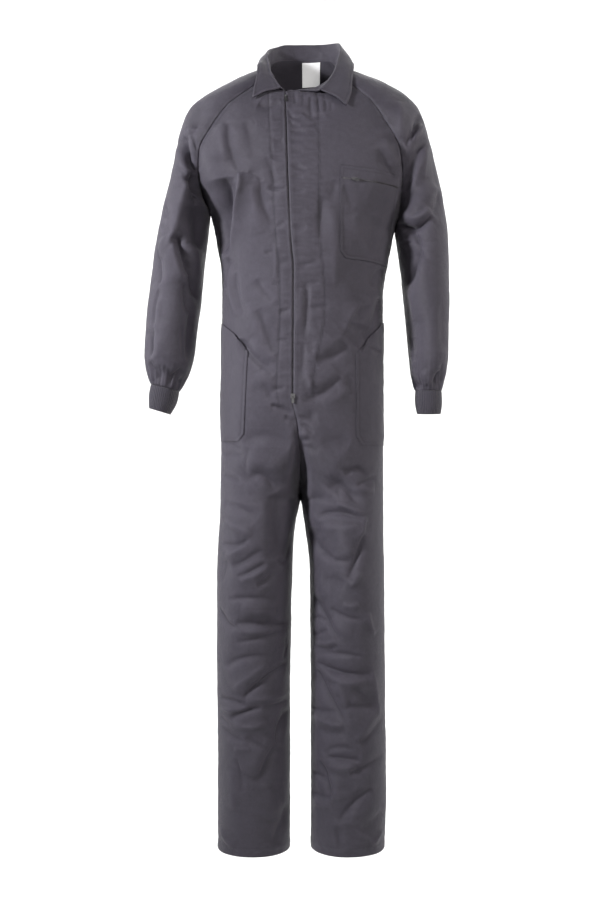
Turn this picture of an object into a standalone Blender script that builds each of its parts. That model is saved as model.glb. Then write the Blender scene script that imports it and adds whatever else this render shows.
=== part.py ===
"""Boiler suit, raglan cut, filled out as if worn: every cut piece is a thin wall of its own.

Metres, +Z up, +X to the wearer's left, -Y to the front. The origin is the centre of the neck base,
between the two points where the shoulders meet the neck.
"""
import math

import bmesh
import bpy
import numpy as np
from mathutils import Matrix, Vector
from mathutils.bvhtree import BVHTree

MM = 0.001

# Driving sizes
CLOTH = 1.6 * MM            # wall of the twill, sewn edges included
COLLAR_CLOTH = 2.2 * MM     # the collar has two plies
SEAM_GAP = 0.3 * MM         # between two pieces that are sewn together
NECK_FRONT_DROP = 0.064     # neck base down to the top of the zip
CROTCH_DROP = 0.882         # neck base down to the fork
HEM_DROP = 1.588            # neck base down to the hems
WAIST_DROP = 0.440          # back waist seam
ZIP_OPENING = 4.8 * MM      # between the two fronts along the zip
ZIP_TOP = -0.068
ZIP_BOTTOM = -0.690
PATCH_CLOTH = 1.2 * MM      # a patch pocket's single ply and its turned edge
TAPE_WIDTH = 12.0 * MM      # one side of the zip tape, behind the front
TAPE_THICK = 0.8 * MM
CHAIN_WIDTH = 4.0 * MM
CHAIN_THICK = 1.8 * MM
CUFF_WALL = 2.4 * MM
CUFF_RIBS = 28
CUFF_RIB_HEIGHT = 0.9 * MM
POCKET_GAPE = 4.0 * MM      # how far a hip pocket's mouth stands off the front
GATHER_HEIGHT = 1.8 * MM    # of the small pleats above each cuff
FRONT_COLUMNS = 11
BACK_COLUMNS = 8            # each side of the centre back
SLEEVE_COLUMNS = 28
COLLAR_SECTIONS = 49
SIDE_SEAM_DEPTH = 5.0 * MM  # the side seams lie this far behind the neck's centre
LABEL_THICK = 0.5 * MM
SLIDER_LIFT = 0.7 * MM      # from the zip's face to the underside of a slider
SLIDER_PLATE = 1.4 * MM
PULL_THICK = 1.0 * MM
FRONT_SLIDER = {"length": 10.0 * MM, "width": 9.0 * MM, "axis": 1.3 * MM, "bridge": 2.3 * MM,
                "wire": 0.55 * MM}
FRONT_PULL = {"length": 14.0 * MM, "width": 5.6 * MM, "eye": 2.6 * MM}
CHEST_SLIDER = {"length": 8.5 * MM, "width": 7.5 * MM, "axis": 1.3 * MM, "bridge": 2.1 * MM,
                "wire": 0.5 * MM}
CHEST_PULL = {"length": 11.0 * MM, "width": 5.0 * MM, "eye": 2.4 * MM}
RIGHT, LEFT = -1, 1         # the wearer's sides, as signs of X


class Table:
    """A short table with named columns, read smoothly between its rows."""

    def __init__(self, columns, rows):
        self.columns = {name: np.array([row[i] for row in rows], float)
                        for i, name in enumerate(columns.split())}
        self.keys = next(iter(self.columns.values()))

    def at(self, name, key):
        values = self.columns[name]
        rates = np.diff(values) / np.diff(self.keys)
        slopes = np.empty_like(values)
        slopes[0], slopes[-1] = rates[0], rates[-1]
        same_way = rates[1:] * rates[:-1] > 0
        total = np.where(same_way, rates[1:] + rates[:-1], 1.0)
        slopes[1:-1] = np.where(same_way, 2 * rates[1:] * rates[:-1] / total, 0.0)
        key = min(max(key, self.keys[0]), self.keys[-1])
        i = min(int(np.searchsorted(self.keys, key, "right")) - 1, len(self.keys) - 2)
        width = self.keys[i + 1] - self.keys[i]
        f = (key - self.keys[i]) / width
        return ((2 * f**3 - 3 * f**2 + 1) * values[i] + (f**3 - 2 * f**2 + f) * width * slopes[i]
                + (3 * f**2 - 2 * f**3) * values[i + 1] + (f**3 - f**2) * width * slopes[i + 1])

    def point(self, names, key):
        return np.array([self.at(name, key) for name in names.split()])


# Seam lines. "s" runs 0 to 1 from the neck to the underarm, to 2 at the fork and to 3 at the hem.
RAGLAN_FRONT = {
    RIGHT: Table("s x y z", [
        (0.00, -0.070, -0.036, -0.020),
        (0.15, -0.098, -0.054, -0.049),
        (0.35, -0.151, -0.076, -0.095),
        (0.55, -0.185, -0.083, -0.146),
        (0.70, -0.204, -0.080, -0.184),
        (0.82, -0.207, -0.062, -0.225),
        (0.92, -0.200, -0.032, -0.265),
        (1.00, -0.188, 0.005, -0.292)]),
    LEFT: Table("s x y z", [
        (0.00, 0.074, -0.036, -0.022),
        (0.15, 0.102, -0.055, -0.049),
        (0.35, 0.139, -0.076, -0.0855),
        (0.55, 0.166, -0.082, -0.129),
        (0.70, 0.194, -0.080, -0.184),
        (0.82, 0.200, -0.064, -0.232),
        (0.92, 0.198, -0.034, -0.288),
        (1.00, 0.190, 0.005, -0.332)])}
RAGLAN_BACK = {
    RIGHT: Table("s x y z", [
        (0.00, -0.056, 0.055, 0.034),
        (0.15, -0.088, 0.080, -0.002),
        (0.35, -0.138, 0.098, -0.062),
        (0.55, -0.178, 0.101, -0.130),
        (0.70, -0.199, 0.091, -0.180),
        (0.82, -0.206, 0.068, -0.225),
        (0.92, -0.200, 0.036, -0.265),
        (1.00, -0.188, 0.005, -0.292)]),
    LEFT: Table("s x y z", [
        (0.00, 0.060, 0.055, 0.036),
        (0.15, 0.092, 0.080, -0.002),
        (0.35, 0.134, 0.098, -0.062),
        (0.55, 0.170, 0.101, -0.132),
        (0.70, 0.193, 0.091, -0.186),
        (0.82, 0.200, 0.068, -0.238),
        (0.92, 0.198, 0.036, -0.290),
        (1.00, 0.190, 0.005, -0.332)])}

# Outer side of the body and legs at each height, and the inner side of each leg.
SIDE_WIDTH = {
    RIGHT: Table("z x", [
        (-1.588, -0.172), (-1.350, -0.172), (-1.230, -0.174), (-1.045, -0.174), (-0.984, -0.172),
        (-0.920, -0.168), (-0.830, -0.166), (-0.700, -0.166), (-0.600, -0.164), (-0.430, -0.164),
        (-0.400, -0.166), (-0.369, -0.172), (-0.338, -0.177), (-0.292, -0.188)]),
    LEFT: Table("z x", [
        (-1.588, 0.168), (-1.480, 0.172), (-1.260, 0.170), (-1.015, 0.168), (-0.950, 0.166),
        (-0.460, 0.166), (-0.430, 0.170), (-0.400, 0.176), (-0.369, 0.182), (-0.332, 0.190)])}
INNER_LEG = {
    RIGHT: Table("z x", [
        (-1.588, -0.0246), (-1.300, -0.0246), (-1.150, -0.0226), (-1.045, -0.0205),
        (-0.984, -0.0185), (-0.953, -0.0164), (-0.9225, -0.0123), (-0.8925, -0.0055),
        (-0.882, -0.003)]),
    LEFT: Table("z x", [
        (-1.588, 0.0185), (-1.350, 0.0185), (-1.030, 0.0164), (-0.984, 0.0123), (-0.953, 0.0082),
        (-0.9225, 0.0041), (-0.8925, -0.0005), (-0.882, -0.003)])}

# The zip line, off the centre to the wearer's right, and the fly seam below it.
ZIP_LINE = Table("z x", [
    (-CROTCH_DROP, -0.003), (-0.800, -0.004), (-0.730, -0.009), (-0.684, -0.018), (-0.420, -0.017),
    (-0.390, -0.020), (-0.280, -0.0262), (-0.170, -0.030), (-NECK_FRONT_DROP, -0.0332)])

# Height of each row where it meets the centre, and where it meets the side seam.
ROW_HEIGHT = Table("s front back right left", [
    (0.00, -0.064, 0.045, -0.020, -0.022),
    (0.25, -0.105, 0.000, -0.070, -0.070),
    (0.50, -0.155, -0.070, -0.130, -0.120),
    (0.75, -0.225, -0.168, -0.200, -0.200),
    (1.00, -0.300, -0.285, -0.292, -0.332),
    (1.12, -0.365, -0.352, -0.350, -0.380),
    (1.25, -WAIST_DROP, -WAIST_DROP, -WAIST_DROP, -WAIST_DROP),
    (1.50, -0.570, -0.570, -0.570, -0.570),
    (1.70, -0.680, -0.680, -0.680, -0.680),
    (1.82, -0.765, -0.765, -0.765, -0.765),
    (1.90, -0.825, -0.825, -0.825, -0.825),
    (1.96, -0.863, -0.863, -0.868, -0.868),
    (2.00, -CROTCH_DROP, -CROTCH_DROP, -0.892, -0.892),
    (2.10, -0.950, -0.950, -0.955, -0.955),
    (3.00, -HEM_DROP, -HEM_DROP, -HEM_DROP, -HEM_DROP)])

# Depth of the centre front and of each row's curve from there to the side. A row is one cubic
# curve: "inner" handles leave the centre or inseam, "outer" handles leave the side seam. The x
# handles are shares of the row's width, the y handles are metres forward.
NECKLINE = {RIGHT: (0.0, -0.066, 0.45, -0.002, -0.002, 0.15, -0.018, -0.024),
            LEFT: (0.0, -0.066, 0.55, -0.004, -0.012, 0.06, -0.030, -0.040)}
FRONT_SHAPE = [
    (0.25, -0.088, 0.45, -0.004, 0.0, 0.28, -0.014, 0.0),
    (0.50, -0.109, 0.50, -0.004, 0.0, 0.22, -0.024, 0.0),
    (0.75, -0.125, 0.55, -0.002, 0.0, 0.12, -0.040, 0.0),
    (1.00, -0.134, 0.60, 0.0, 0.0, 0.03, -0.078, 0.0),
    (1.25, -0.134, 0.60, 0.0, 0.0, 0.0, -0.082, 0.0),
    (1.50, -0.129, 0.60, 0.0, 0.0, 0.0, -0.080, 0.0),
    (1.70, -0.124, 0.58, -0.003, 0.0, 0.0, -0.082, 0.0),
    (1.82, -0.111, 0.52, -0.014, 0.0, 0.0, -0.092, 0.0),
    (1.90, -0.084, 0.42, -0.040, 0.0, 0.0, -0.106, 0.0),
    (1.96, -0.042, 0.26, -0.084, 0.0, 0.0, -0.130, 0.0),
    (2.00, 0.010, 0.10, -0.146, 0.0, 0.0, -0.156, 0.0),
    (2.20, 0.010, 0.0, -0.158, 0.0, 0.0, -0.158, 0.0),
    (2.50, 0.008, 0.0, -0.134, 0.0, 0.0, -0.134, 0.0),
    (3.00, 0.000, 0.0, -0.104, 0.0, 0.0, -0.104, 0.0)]
SHAPE_COLUMNS = "s y inner_x inner_y inner_z outer_x outer_y outer_z"
FRONT = {side: Table(SHAPE_COLUMNS, [NECKLINE[side]] + FRONT_SHAPE) for side in (RIGHT, LEFT)}
BACK = Table(SHAPE_COLUMNS, [
    (0.00, 0.075, 0.50, 0.000, 0.0, 0.25, 0.010, 0.004),
    (0.25, 0.096, 0.50, 0.002, 0.0, 0.35, 0.008, 0.0),
    (0.50, 0.113, 0.50, 0.002, 0.0, 0.30, 0.014, 0.0),
    (0.75, 0.123, 0.55, 0.000, 0.0, 0.18, 0.034, 0.0),
    (1.00, 0.124, 0.60, 0.000, 0.0, 0.03, 0.072, 0.0),
    (1.25, 0.110, 0.60, 0.000, 0.0, 0.0, 0.066, 0.0),
    (1.50, 0.114, 0.60, 0.000, 0.0, 0.0, 0.070, 0.0),
    (1.70, 0.130, 0.58, 0.004, 0.0, 0.0, 0.084, 0.0),
    (1.82, 0.129, 0.52, 0.016, 0.0, 0.0, 0.098, 0.0),
    (1.90, 0.104, 0.42, 0.044, 0.0, 0.0, 0.112, 0.0),
    (1.96, 0.060, 0.26, 0.088, 0.0, 0.0, 0.136, 0.0),
    (2.00, 0.010, 0.10, 0.150, 0.0, 0.0, 0.164, 0.0),
    (2.20, 0.010, 0.0, 0.152, 0.0, 0.0, 0.154, 0.0),
    (2.50, 0.008, 0.0, 0.118, 0.0, 0.0, 0.118, 0.0),
    (3.00, 0.000, 0.0, 0.104, 0.0, 0.0, 0.104, 0.0)])

# Sleeve rows. From 0 to 1 a row crosses the shoulder from the front raglan seam over the top line
# to the back raglan seam. From 1 to 2 it is a ring round the arm, from the underarm seam.
SLEEVE_TOP = {
    RIGHT: Table("s x y z", [
        (0.00, -0.0745, 0.012, 0.008), (0.15, -0.118, 0.010, -0.011), (0.35, -0.172, 0.008, -0.040),
        (0.50, -0.207, 0.007, -0.0615), (0.60, -0.228, 0.006, -0.080), (0.70, -0.241, 0.006, -0.104),
        (0.80, -0.250, 0.006, -0.135), (0.90, -0.260, 0.005, -0.185), (1.00, -0.272, 0.005, -0.238),
        (1.12, -0.287, 0.004, -0.300), (1.25, -0.299, 0.002, -0.362), (1.45, -0.3115, -0.004, -0.455),
        (1.62, -0.318, -0.010, -0.525), (1.78, -0.320, -0.018, -0.585), (1.90, -0.3165, -0.022, -0.615),
        (2.00, -0.3065, -0.025, -0.6455)]),
    LEFT: Table("s x y z", [
        (0.00, 0.082, 0.012, 0.010), (0.15, 0.125, 0.010, -0.008), (0.35, 0.179, 0.008, -0.033),
        (0.50, 0.216, 0.007, -0.057), (0.60, 0.236, 0.006, -0.078), (0.70, 0.248, 0.006, -0.103),
        (0.80, 0.260, 0.006, -0.145), (0.90, 0.275, 0.005, -0.205), (1.00, 0.289, 0.005, -0.270),
        (1.12, 0.297, 0.004, -0.330), (1.25, 0.300, 0.002, -0.390), (1.45, 0.301, -0.004, -0.472),
        (1.62, 0.2990, -0.010, -0.535), (1.78, 0.2965, -0.018, -0.588), (1.90, 0.2925, -0.022, -0.620),
        (2.00, 0.283, -0.025, -0.659)])}
UNDERARM = {
    RIGHT: Table("s x y z", [
        (1.00, -0.188, 0.005, -0.292), (1.12, -0.1935, 0.004, -0.345), (1.25, -0.199, 0.002, -0.395),
        (1.45, -0.2055, -0.004, -0.470), (1.62, -0.213, -0.010, -0.530), (1.78, -0.2190, -0.018, -0.585),
        (1.90, -0.2270, -0.022, -0.620), (2.00, -0.2487, -0.025, -0.660)]),
    LEFT: Table("s x y z", [
        (1.00, 0.190, 0.005, -0.332), (1.12, 0.1955, 0.004, -0.368), (1.25, 0.2015, 0.002, -0.410),
        (1.45, 0.2085, -0.004, -0.482), (1.62, 0.2135, -0.010, -0.538), (1.78, 0.2170, -0.018, -0.589),
        (1.90, 0.2200, -0.022, -0.621), (2.00, 0.2296, -0.025, -0.659)])}
# Handles of a sleeve row, for the wearer's left; x is mirrored for the right.
SLEEVE_SHAPE = Table("s front_x front_y front_z front_top back_x back_y back_z back_top", [
    (0.00, 0.003, 0.014, 0.008, 0.014, 0.008, -0.014, -0.006, 0.014),
    (0.15, 0.004, 0.012, 0.026, 0.030, 0.010, -0.008, 0.018, 0.030),
    (0.35, 0.012, 0.004, 0.034, 0.042, 0.014, 0.002, 0.028, 0.044),
    (0.50, 0.022, -0.004, 0.036, 0.048, 0.022, 0.008, 0.030, 0.050),
    (0.70, 0.030, -0.016, 0.028, 0.056, 0.030, 0.020, 0.026, 0.058),
    (0.80, 0.030, -0.034, 0.018, 0.065, 0.030, 0.038, 0.016, 0.068),
    (0.90, 0.022, -0.064, 0.006, 0.084, 0.022, 0.068, 0.006, 0.086),
    (1.00, 0.000, -0.116, 0.000, 0.116, 0.000, 0.118, 0.000, 0.118),
    (1.25, 0.000, -0.112, 0.000, 0.112, 0.000, 0.112, 0.000, 0.112),
    (1.45, 0.000, -0.104, 0.000, 0.104, 0.000, 0.104, 0.000, 0.104),
    (1.62, 0.000, -0.096, 0.000, 0.096, 0.000, 0.096, 0.000, 0.096),
    (1.78, 0.000, -0.088, 0.000, 0.088, 0.000, 0.088, 0.000, 0.088),
    (1.90, 0.000, -0.074, 0.000, 0.074, 0.000, 0.074, 0.000, 0.074),
    (2.00, 0.000, -0.044, 0.000, 0.044, 0.000, 0.044, 0.000, 0.044)])

# Rows of each piece, as values of s
SHOULDER_ROWS = [0.0, 0.10, 0.20, 0.30, 0.40, 0.50, 0.60, 0.70, 0.80, 0.90, 1.0]
BODY_ROWS = [1.08, 1.16, 1.25]
HIP_ROWS = [1.25, 1.34, 1.43, 1.52, 1.61, 1.70, 1.72, 1.78, 1.85, 1.91, 1.96, 2.0]
LEG_ROWS = [2.04, 2.09, 2.14, 2.20, 2.26, 2.32, 2.38, 2.44, 2.50, 2.56, 2.62, 2.68, 2.75, 2.82,
            2.90, 3.0]
ARM_ROWS = [1.09, 1.18, 1.28, 1.38, 1.48, 1.58, 1.68, 1.78, 1.86, 1.93, 2.0]

# The largest folds: a soft line across the cloth, from one point to another as seen from the
# front or back. A positive height is a ridge, a negative one is a trough.
FOLDS = Table("n side x1 z1 x2 z2 width height", [
    (0, -1, -0.151, -0.150, -0.128, -0.235, 0.016, 0.005),
    (1, -1, -0.125, -0.245, -0.140, -0.345, 0.016, 0.006),
    (2, -1, -0.150, -0.215, -0.166, -0.330, 0.016, -0.007),
    (3, -1, -0.138, -0.420, -0.128, -0.510, 0.018, -0.005),
    (4, -1, -0.076, -0.240, -0.055, -0.340, 0.020, -0.004),
    (5, -1, 0.044, -0.270, 0.034, -0.340, 0.022, -0.004),
    (6, -1, -0.115, -0.757, -0.018, -0.738, 0.020, -0.008),
    (7, -1, 0.155, -0.430, 0.090, -0.550, 0.022, -0.006),
    (8, -1, 0.072, -0.640, 0.030, -0.680, 0.018, -0.006),
    (9, -1, -0.150, -0.880, -0.095, -0.935, 0.020, -0.006),
    (10, -1, -0.145, -0.975, -0.060, -0.990, 0.018, 0.005),
    (11, -1, -0.120, -1.065, -0.040, -1.065, 0.020, -0.006),
    (12, -1, -0.130, -1.095, -0.040, -1.095, 0.018, 0.006),
    (13, -1, -0.110, -1.255, -0.030, -1.205, 0.020, -0.005),
    (14, -1, -0.032, -1.300, -0.080, -1.405, 0.026, -0.008),
    (15, -1, 0.035, -0.935, 0.100, -0.950, 0.026, 0.007),
    (16, -1, 0.134, -0.900, 0.094, -1.020, 0.018, -0.006),
    (17, -1, 0.025, -1.080, 0.072, -1.140, 0.020, -0.006),
    (18, -1, 0.040, -1.218, 0.128, -1.218, 0.022, 0.007),
    (19, -1, 0.036, -1.240, 0.085, -1.300, 0.022, -0.006),
    (20, -1, 0.098, -1.200, 0.146, -1.275, 0.018, -0.005),
    (21, -1, 0.050, -1.390, 0.102, -1.390, 0.018, 0.005),
    (22, 1, -0.140, -0.330, -0.050, -0.380, 0.024, -0.006),
    (23, 1, 0.140, -0.340, 0.060, -0.400, 0.024, -0.006),
    (24, 1, -0.090, -0.820, -0.020, -0.850, 0.022, -0.007),
    (25, 1, 0.090, -0.820, 0.015, -0.855, 0.022, -0.007),
    (26, 1, -0.150, -0.960, -0.060, -0.900, 0.024, -0.006),
    (27, 1, 0.150, -0.960, 0.060, -0.905, 0.024, -0.006),
    (28, 1, -0.150, -1.110, -0.040, -1.130, 0.020, -0.007),
    (29, 1, -0.150, -1.150, -0.040, -1.090, 0.020, 0.006),
    (30, 1, 0.150, -1.120, 0.040, -1.140, 0.020, -0.007),
    (31, 1, 0.140, -1.080, 0.040, -1.100, 0.020, 0.006),
    (32, 1, -0.140, -1.340, -0.060, -1.300, 0.024, -0.006),
    (33, 1, 0.130, -1.330, 0.050, -1.370, 0.024, -0.006),
    (34, -1, -0.300, -0.400, -0.215, -0.370, 0.018, -0.006),
    (35, -1, -0.305, -0.440, -0.215, -0.430, 0.018, 0.005),
    (36, -1, 0.210, -0.330, 0.285, -0.345, 0.016, -0.006),
    (37, -1, 0.225, -0.385, 0.290, -0.420, 0.018, 0.005),
    (38, -1, -0.235, -0.165, -0.205, -0.235, 0.014, -0.005),
    (39, -1, 0.232, -0.115, 0.200, -0.210, 0.014, -0.005),
    (40, 1, -0.300, -0.420, -0.215, -0.390, 0.018, -0.006),
    (41, 1, 0.290, -0.430, 0.215, -0.400, 0.018, -0.006)])


def cubic(a, b, c, d, t):
    """A point on the cubic curve with the control points a, b, c and d."""
    return a * (1 - t)**3 + 3 * b * t * (1 - t)**2 + 3 * c * t**2 * (1 - t) + d * t**3


def side_point(side, s, raglan):
    """Where a row meets the raglan seam, or the side seam below the underarm."""
    if s <= 1.0:
        return raglan[side].point("x y z", s)
    z = ROW_HEIGHT.at("right" if side == RIGHT else "left", s)
    return np.array([SIDE_WIDTH[side].at("x", z), SIDE_SEAM_DEPTH * min(1.0, 3.0 - s), z])


def body_curve(side, s, shape, raglan, centre_x, centre_z):
    """The four control points of a front or back row."""
    inner = np.array([centre_x, shape.at("y", s), centre_z])
    outer = side_point(side, s, raglan)
    width = outer[0] - inner[0]
    drop = (outer[2] - inner[2]) / 3
    inner_handle = np.array([shape.at("inner_x", s) * width, shape.at("inner_y", s),
                             shape.at("inner_z", s) + drop])
    outer_handle = np.array([-shape.at("outer_x", s) * width, shape.at("outer_y", s),
                             shape.at("outer_z", s) - drop])
    return inner, inner + inner_handle, outer + outer_handle, outer


def front_row(side, s, shares):
    """Points of a front from its centre edge or inseam out to its side edge."""
    z = ROW_HEIGHT.at("front", s)
    if s > 2.0:
        x = INNER_LEG[side].at("x", z)
    else:
        open_share = min(max((z - ZIP_BOTTOM) / (8 * MM), 0.0), 1.0)
        x = ZIP_LINE.at("x", z) + side * open_share * ZIP_OPENING / 2
    curve = body_curve(side, s, FRONT[side], RAGLAN_FRONT, x, z)
    return [cubic(*curve, t) for t in shares]


def back_row(side, s, shares):
    """Points of a back from the centre back, seat seam or inseam out to its side edge."""
    z = ROW_HEIGHT.at("back", s)
    if s > 2.0:
        x = INNER_LEG[side].at("x", z)
    else:
        x = -0.003 * min(max((s - 1.25) / 0.75, 0.0), 1.0)
    curve = body_curve(side, s, BACK, RAGLAN_BACK, x, z)
    return [cubic(*curve, t) for t in shares]


def sleeve_row(side, s, shares):
    """Points of a sleeve row, from the front edge over the top line to the back edge."""
    top = SLEEVE_TOP[side].point("x y z", s)
    front = RAGLAN_FRONT[side].point("x y z", s) if s <= 1 else UNDERARM[side].point("x y z", s)
    back = RAGLAN_BACK[side].point("x y z", s) if s <= 1 else front
    mirror = np.array([side, 1, 1])
    front_handle = SLEEVE_SHAPE.point("front_x front_y front_z", s) * mirror
    back_handle = SLEEVE_SHAPE.point("back_x back_y back_z", s) * mirror
    ahead = np.array([0, -SLEEVE_SHAPE.at("front_top", s), 0])
    behind = np.array([0, SLEEVE_SHAPE.at("back_top", s), 0])
    points = []
    for u in shares:
        if u <= 0.5:
            points.append(cubic(front, front + front_handle, top + ahead, top, 2 * u))
        else:
            points.append(cubic(top, top + behind, back + back_handle, back, 2 * u - 1))
    return points


def cloth_grids():
    """Every cut piece of cloth as a grid of points on its outer face."""
    grids = {}
    front_shares = np.linspace(0, 1, FRONT_COLUMNS + 1)
    back_shares = np.linspace(0, 1, BACK_COLUMNS + 1)
    sleeve_shares = np.linspace(0, 1, SLEEVE_COLUMNS + 1)
    for side, name in ((RIGHT, "right"), (LEFT, "left")):
        rows = SHOULDER_ROWS + BODY_ROWS + HIP_ROWS[1:] + LEG_ROWS
        grids["front_" + name] = np.array([front_row(side, s, front_shares) for s in rows])
        rows = HIP_ROWS + LEG_ROWS
        grids["back_lower_" + name] = np.array([back_row(side, s, back_shares) for s in rows])
        rows = SHOULDER_ROWS + ARM_ROWS
        grids["sleeve_" + name] = np.array([sleeve_row(side, s, sleeve_shares) for s in rows])
    rows = SHOULDER_ROWS + BODY_ROWS
    right_half = np.array([back_row(RIGHT, s, back_shares[::-1]) for s in rows])
    left_half = np.array([back_row(LEFT, s, back_shares[1:]) for s in rows])
    grids["back_upper"] = np.concatenate([right_half, left_half], axis=1)
    return grids


def grid_normals(grid, centre):
    """Area-weighted normals of a grid's points, turned away from a point inside the piece."""
    across = np.diff(grid, axis=1)
    down = np.diff(grid, axis=0)
    normals = np.zeros_like(grid)
    cell = (np.cross(across[:-1], down[:, :-1]) + np.cross(across[1:], down[:, 1:])) / 2
    for i in (0, 1):
        for j in (0, 1):
            rows = slice(i, grid.shape[0] - 1 + i)
            columns = slice(j, grid.shape[1] - 1 + j)
            normals[rows, columns] += cell
    if np.sum(normals * (grid - centre)) < 0:
        normals = -normals
    return normals


def shared_normals(grids):
    """Normals of all grids; pieces that share a seam point share its normal."""
    centres = {name: grid.reshape(-1, 3).mean(axis=0) for name, grid in grids.items()}
    for name, grid in grids.items():
        if not name.startswith("sleeve"):
            centres[name] = np.array([centres[name][0] * 0.5, 0.0, centres[name][2]])
    normals = {name: grid_normals(grid, centres[name]) for name, grid in grids.items()}
    totals = {}
    for name, grid in grids.items():
        for point, normal in zip(grid.reshape(-1, 3), normals[name].reshape(-1, 3)):
            key = tuple(np.round(point, 6))
            totals[key] = totals.get(key, 0) + normal
    for name, grid in grids.items():
        flat = np.array([totals[tuple(np.round(point, 6))] for point in grid.reshape(-1, 3)])
        flat /= np.linalg.norm(flat, axis=1)[:, None]
        normals[name] = flat.reshape(grid.shape)
    return normals


def fold_height(points, normals):
    """How far the folds lift or sink each point of a piece."""
    height = np.zeros(points.shape[:2])
    table = FOLDS.columns
    for i in range(len(FOLDS.keys)):
        start = np.array([table["x1"][i], table["z1"][i]])
        end = np.array([table["x2"][i], table["z2"][i]])
        seen = points[..., [0, 2]]
        along = end - start
        share = np.clip(((seen - start) @ along) / (along @ along), 0, 1)
        distance = np.linalg.norm(seen - start - share[..., None] * along, axis=-1)
        facing = np.clip((normals[..., 1] * table["side"][i] - 0.1) / 0.5, 0, 1)
        height += table["height"][i] * facing * np.exp(-(distance / table["width"][i])**2)
    return height


def gather_sleeve(grid, normals, rows):
    """Raises small pleats round a sleeve just above its cuff."""
    columns = np.arange(grid.shape[1])
    wave = np.where(columns % 2 == 0, 1.0, -1.0)
    wave[0] = wave[-1] = 0.0
    for i, s in enumerate(rows):
        strength = GATHER_HEIGHT * max(0.0, (s - 1.80) / 0.20)
        grid[i] += normals[i] * (wave * strength)[:, None]


def pull_in(grid, normals, skip_edges=()):
    """Moves each edge of a piece half a seam gap into the piece, along its surface."""
    moved = grid.copy()
    edges = {"first_row": (np.s_[0, :], np.s_[1, :]), "last_row": (np.s_[-1, :], np.s_[-2, :]),
             "first_column": (np.s_[:, 0], np.s_[:, 1]), "last_column": (np.s_[:, -1], np.s_[:, -2])}
    for name, (edge, inside) in edges.items():
        if name in skip_edges:
            continue
        along = np.gradient(grid[edge], axis=0)
        into = np.cross(normals[edge], along)
        into /= np.linalg.norm(into, axis=1)[:, None]
        if np.sum(into * (grid[inside] - grid[edge])) < 0:
            into = -into
        moved[edge] += into * SEAM_GAP / 2
    return moved


def collection_for(name):
    """The collection that holds the suit."""
    collection = bpy.data.collections.get(name) or bpy.data.collections.new(name)
    if name not in bpy.context.scene.collection.children:
        bpy.context.scene.collection.children.link(collection)
    return collection


def material(name, colour, roughness, metallic=0.0):
    """A plain material with the piece's own colour, roughness and metallic value."""
    made = bpy.data.materials.new(name)
    made.use_nodes = True
    shader = made.node_tree.nodes["Principled BSDF"]
    shader.inputs["Base Color"].default_value = (*colour, 1.0)
    shader.inputs["Roughness"].default_value = roughness
    shader.inputs["Metallic"].default_value = metallic
    made.diffuse_color = (*colour, 1.0)
    return made


def add_object(name, bm, made_material, smooth=True):
    """Turns a finished bmesh into a named object of the suit."""
    bmesh.ops.recalc_face_normals(bm, faces=bm.faces[:])
    mesh = bpy.data.meshes.new(name)
    bm.to_mesh(mesh)
    bm.free()
    mesh.materials.append(made_material)
    if smooth:
        mesh.shade_smooth()
        mesh.set_sharp_from_angle(angle=math.radians(50))
    made = bpy.data.objects.new(name, mesh)
    collection_for("boiler_suit").objects.link(made)
    return made


def sheet(grid):
    """A bmesh grid with its points laid on the given ones, in triangles."""
    rows, columns = grid.shape[:2]
    bm = bmesh.new()
    bmesh.ops.create_grid(bm, x_segments=columns - 1, y_segments=rows - 1, size=1)
    for vertex, point in zip(bm.verts, grid.reshape(-1, 3)):
        vertex.co = point
    bmesh.ops.triangulate(bm, faces=bm.faces[:], quad_method="SHORT_EDGE")
    return bm


def thicken(bm, offsets):
    """Closes a sheet into a wall: each point gets a partner at its own offset."""
    layer = bm.verts.layers.int.new("point")
    bm.verts.ensure_lookup_table()
    for i, vertex in enumerate(bm.verts):
        vertex[layer] = i
    grown = bmesh.ops.extrude_face_region(bm, geom=bm.faces[:], use_keep_orig=True)
    for item in grown["geom"]:
        if isinstance(item, bmesh.types.BMVert):
            item.co += Vector(offsets[item[layer]])
    return bm


def cloth_wall(name, grid, normals, thickness, made_material, skip_edges=()):
    """One cut piece as a closed wall, its outer face on the grid."""
    bm = sheet(pull_in(grid, normals, skip_edges))
    thicken(bm, -normals.reshape(-1, 3) * thickness)
    return add_object(name, bm, made_material)


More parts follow.
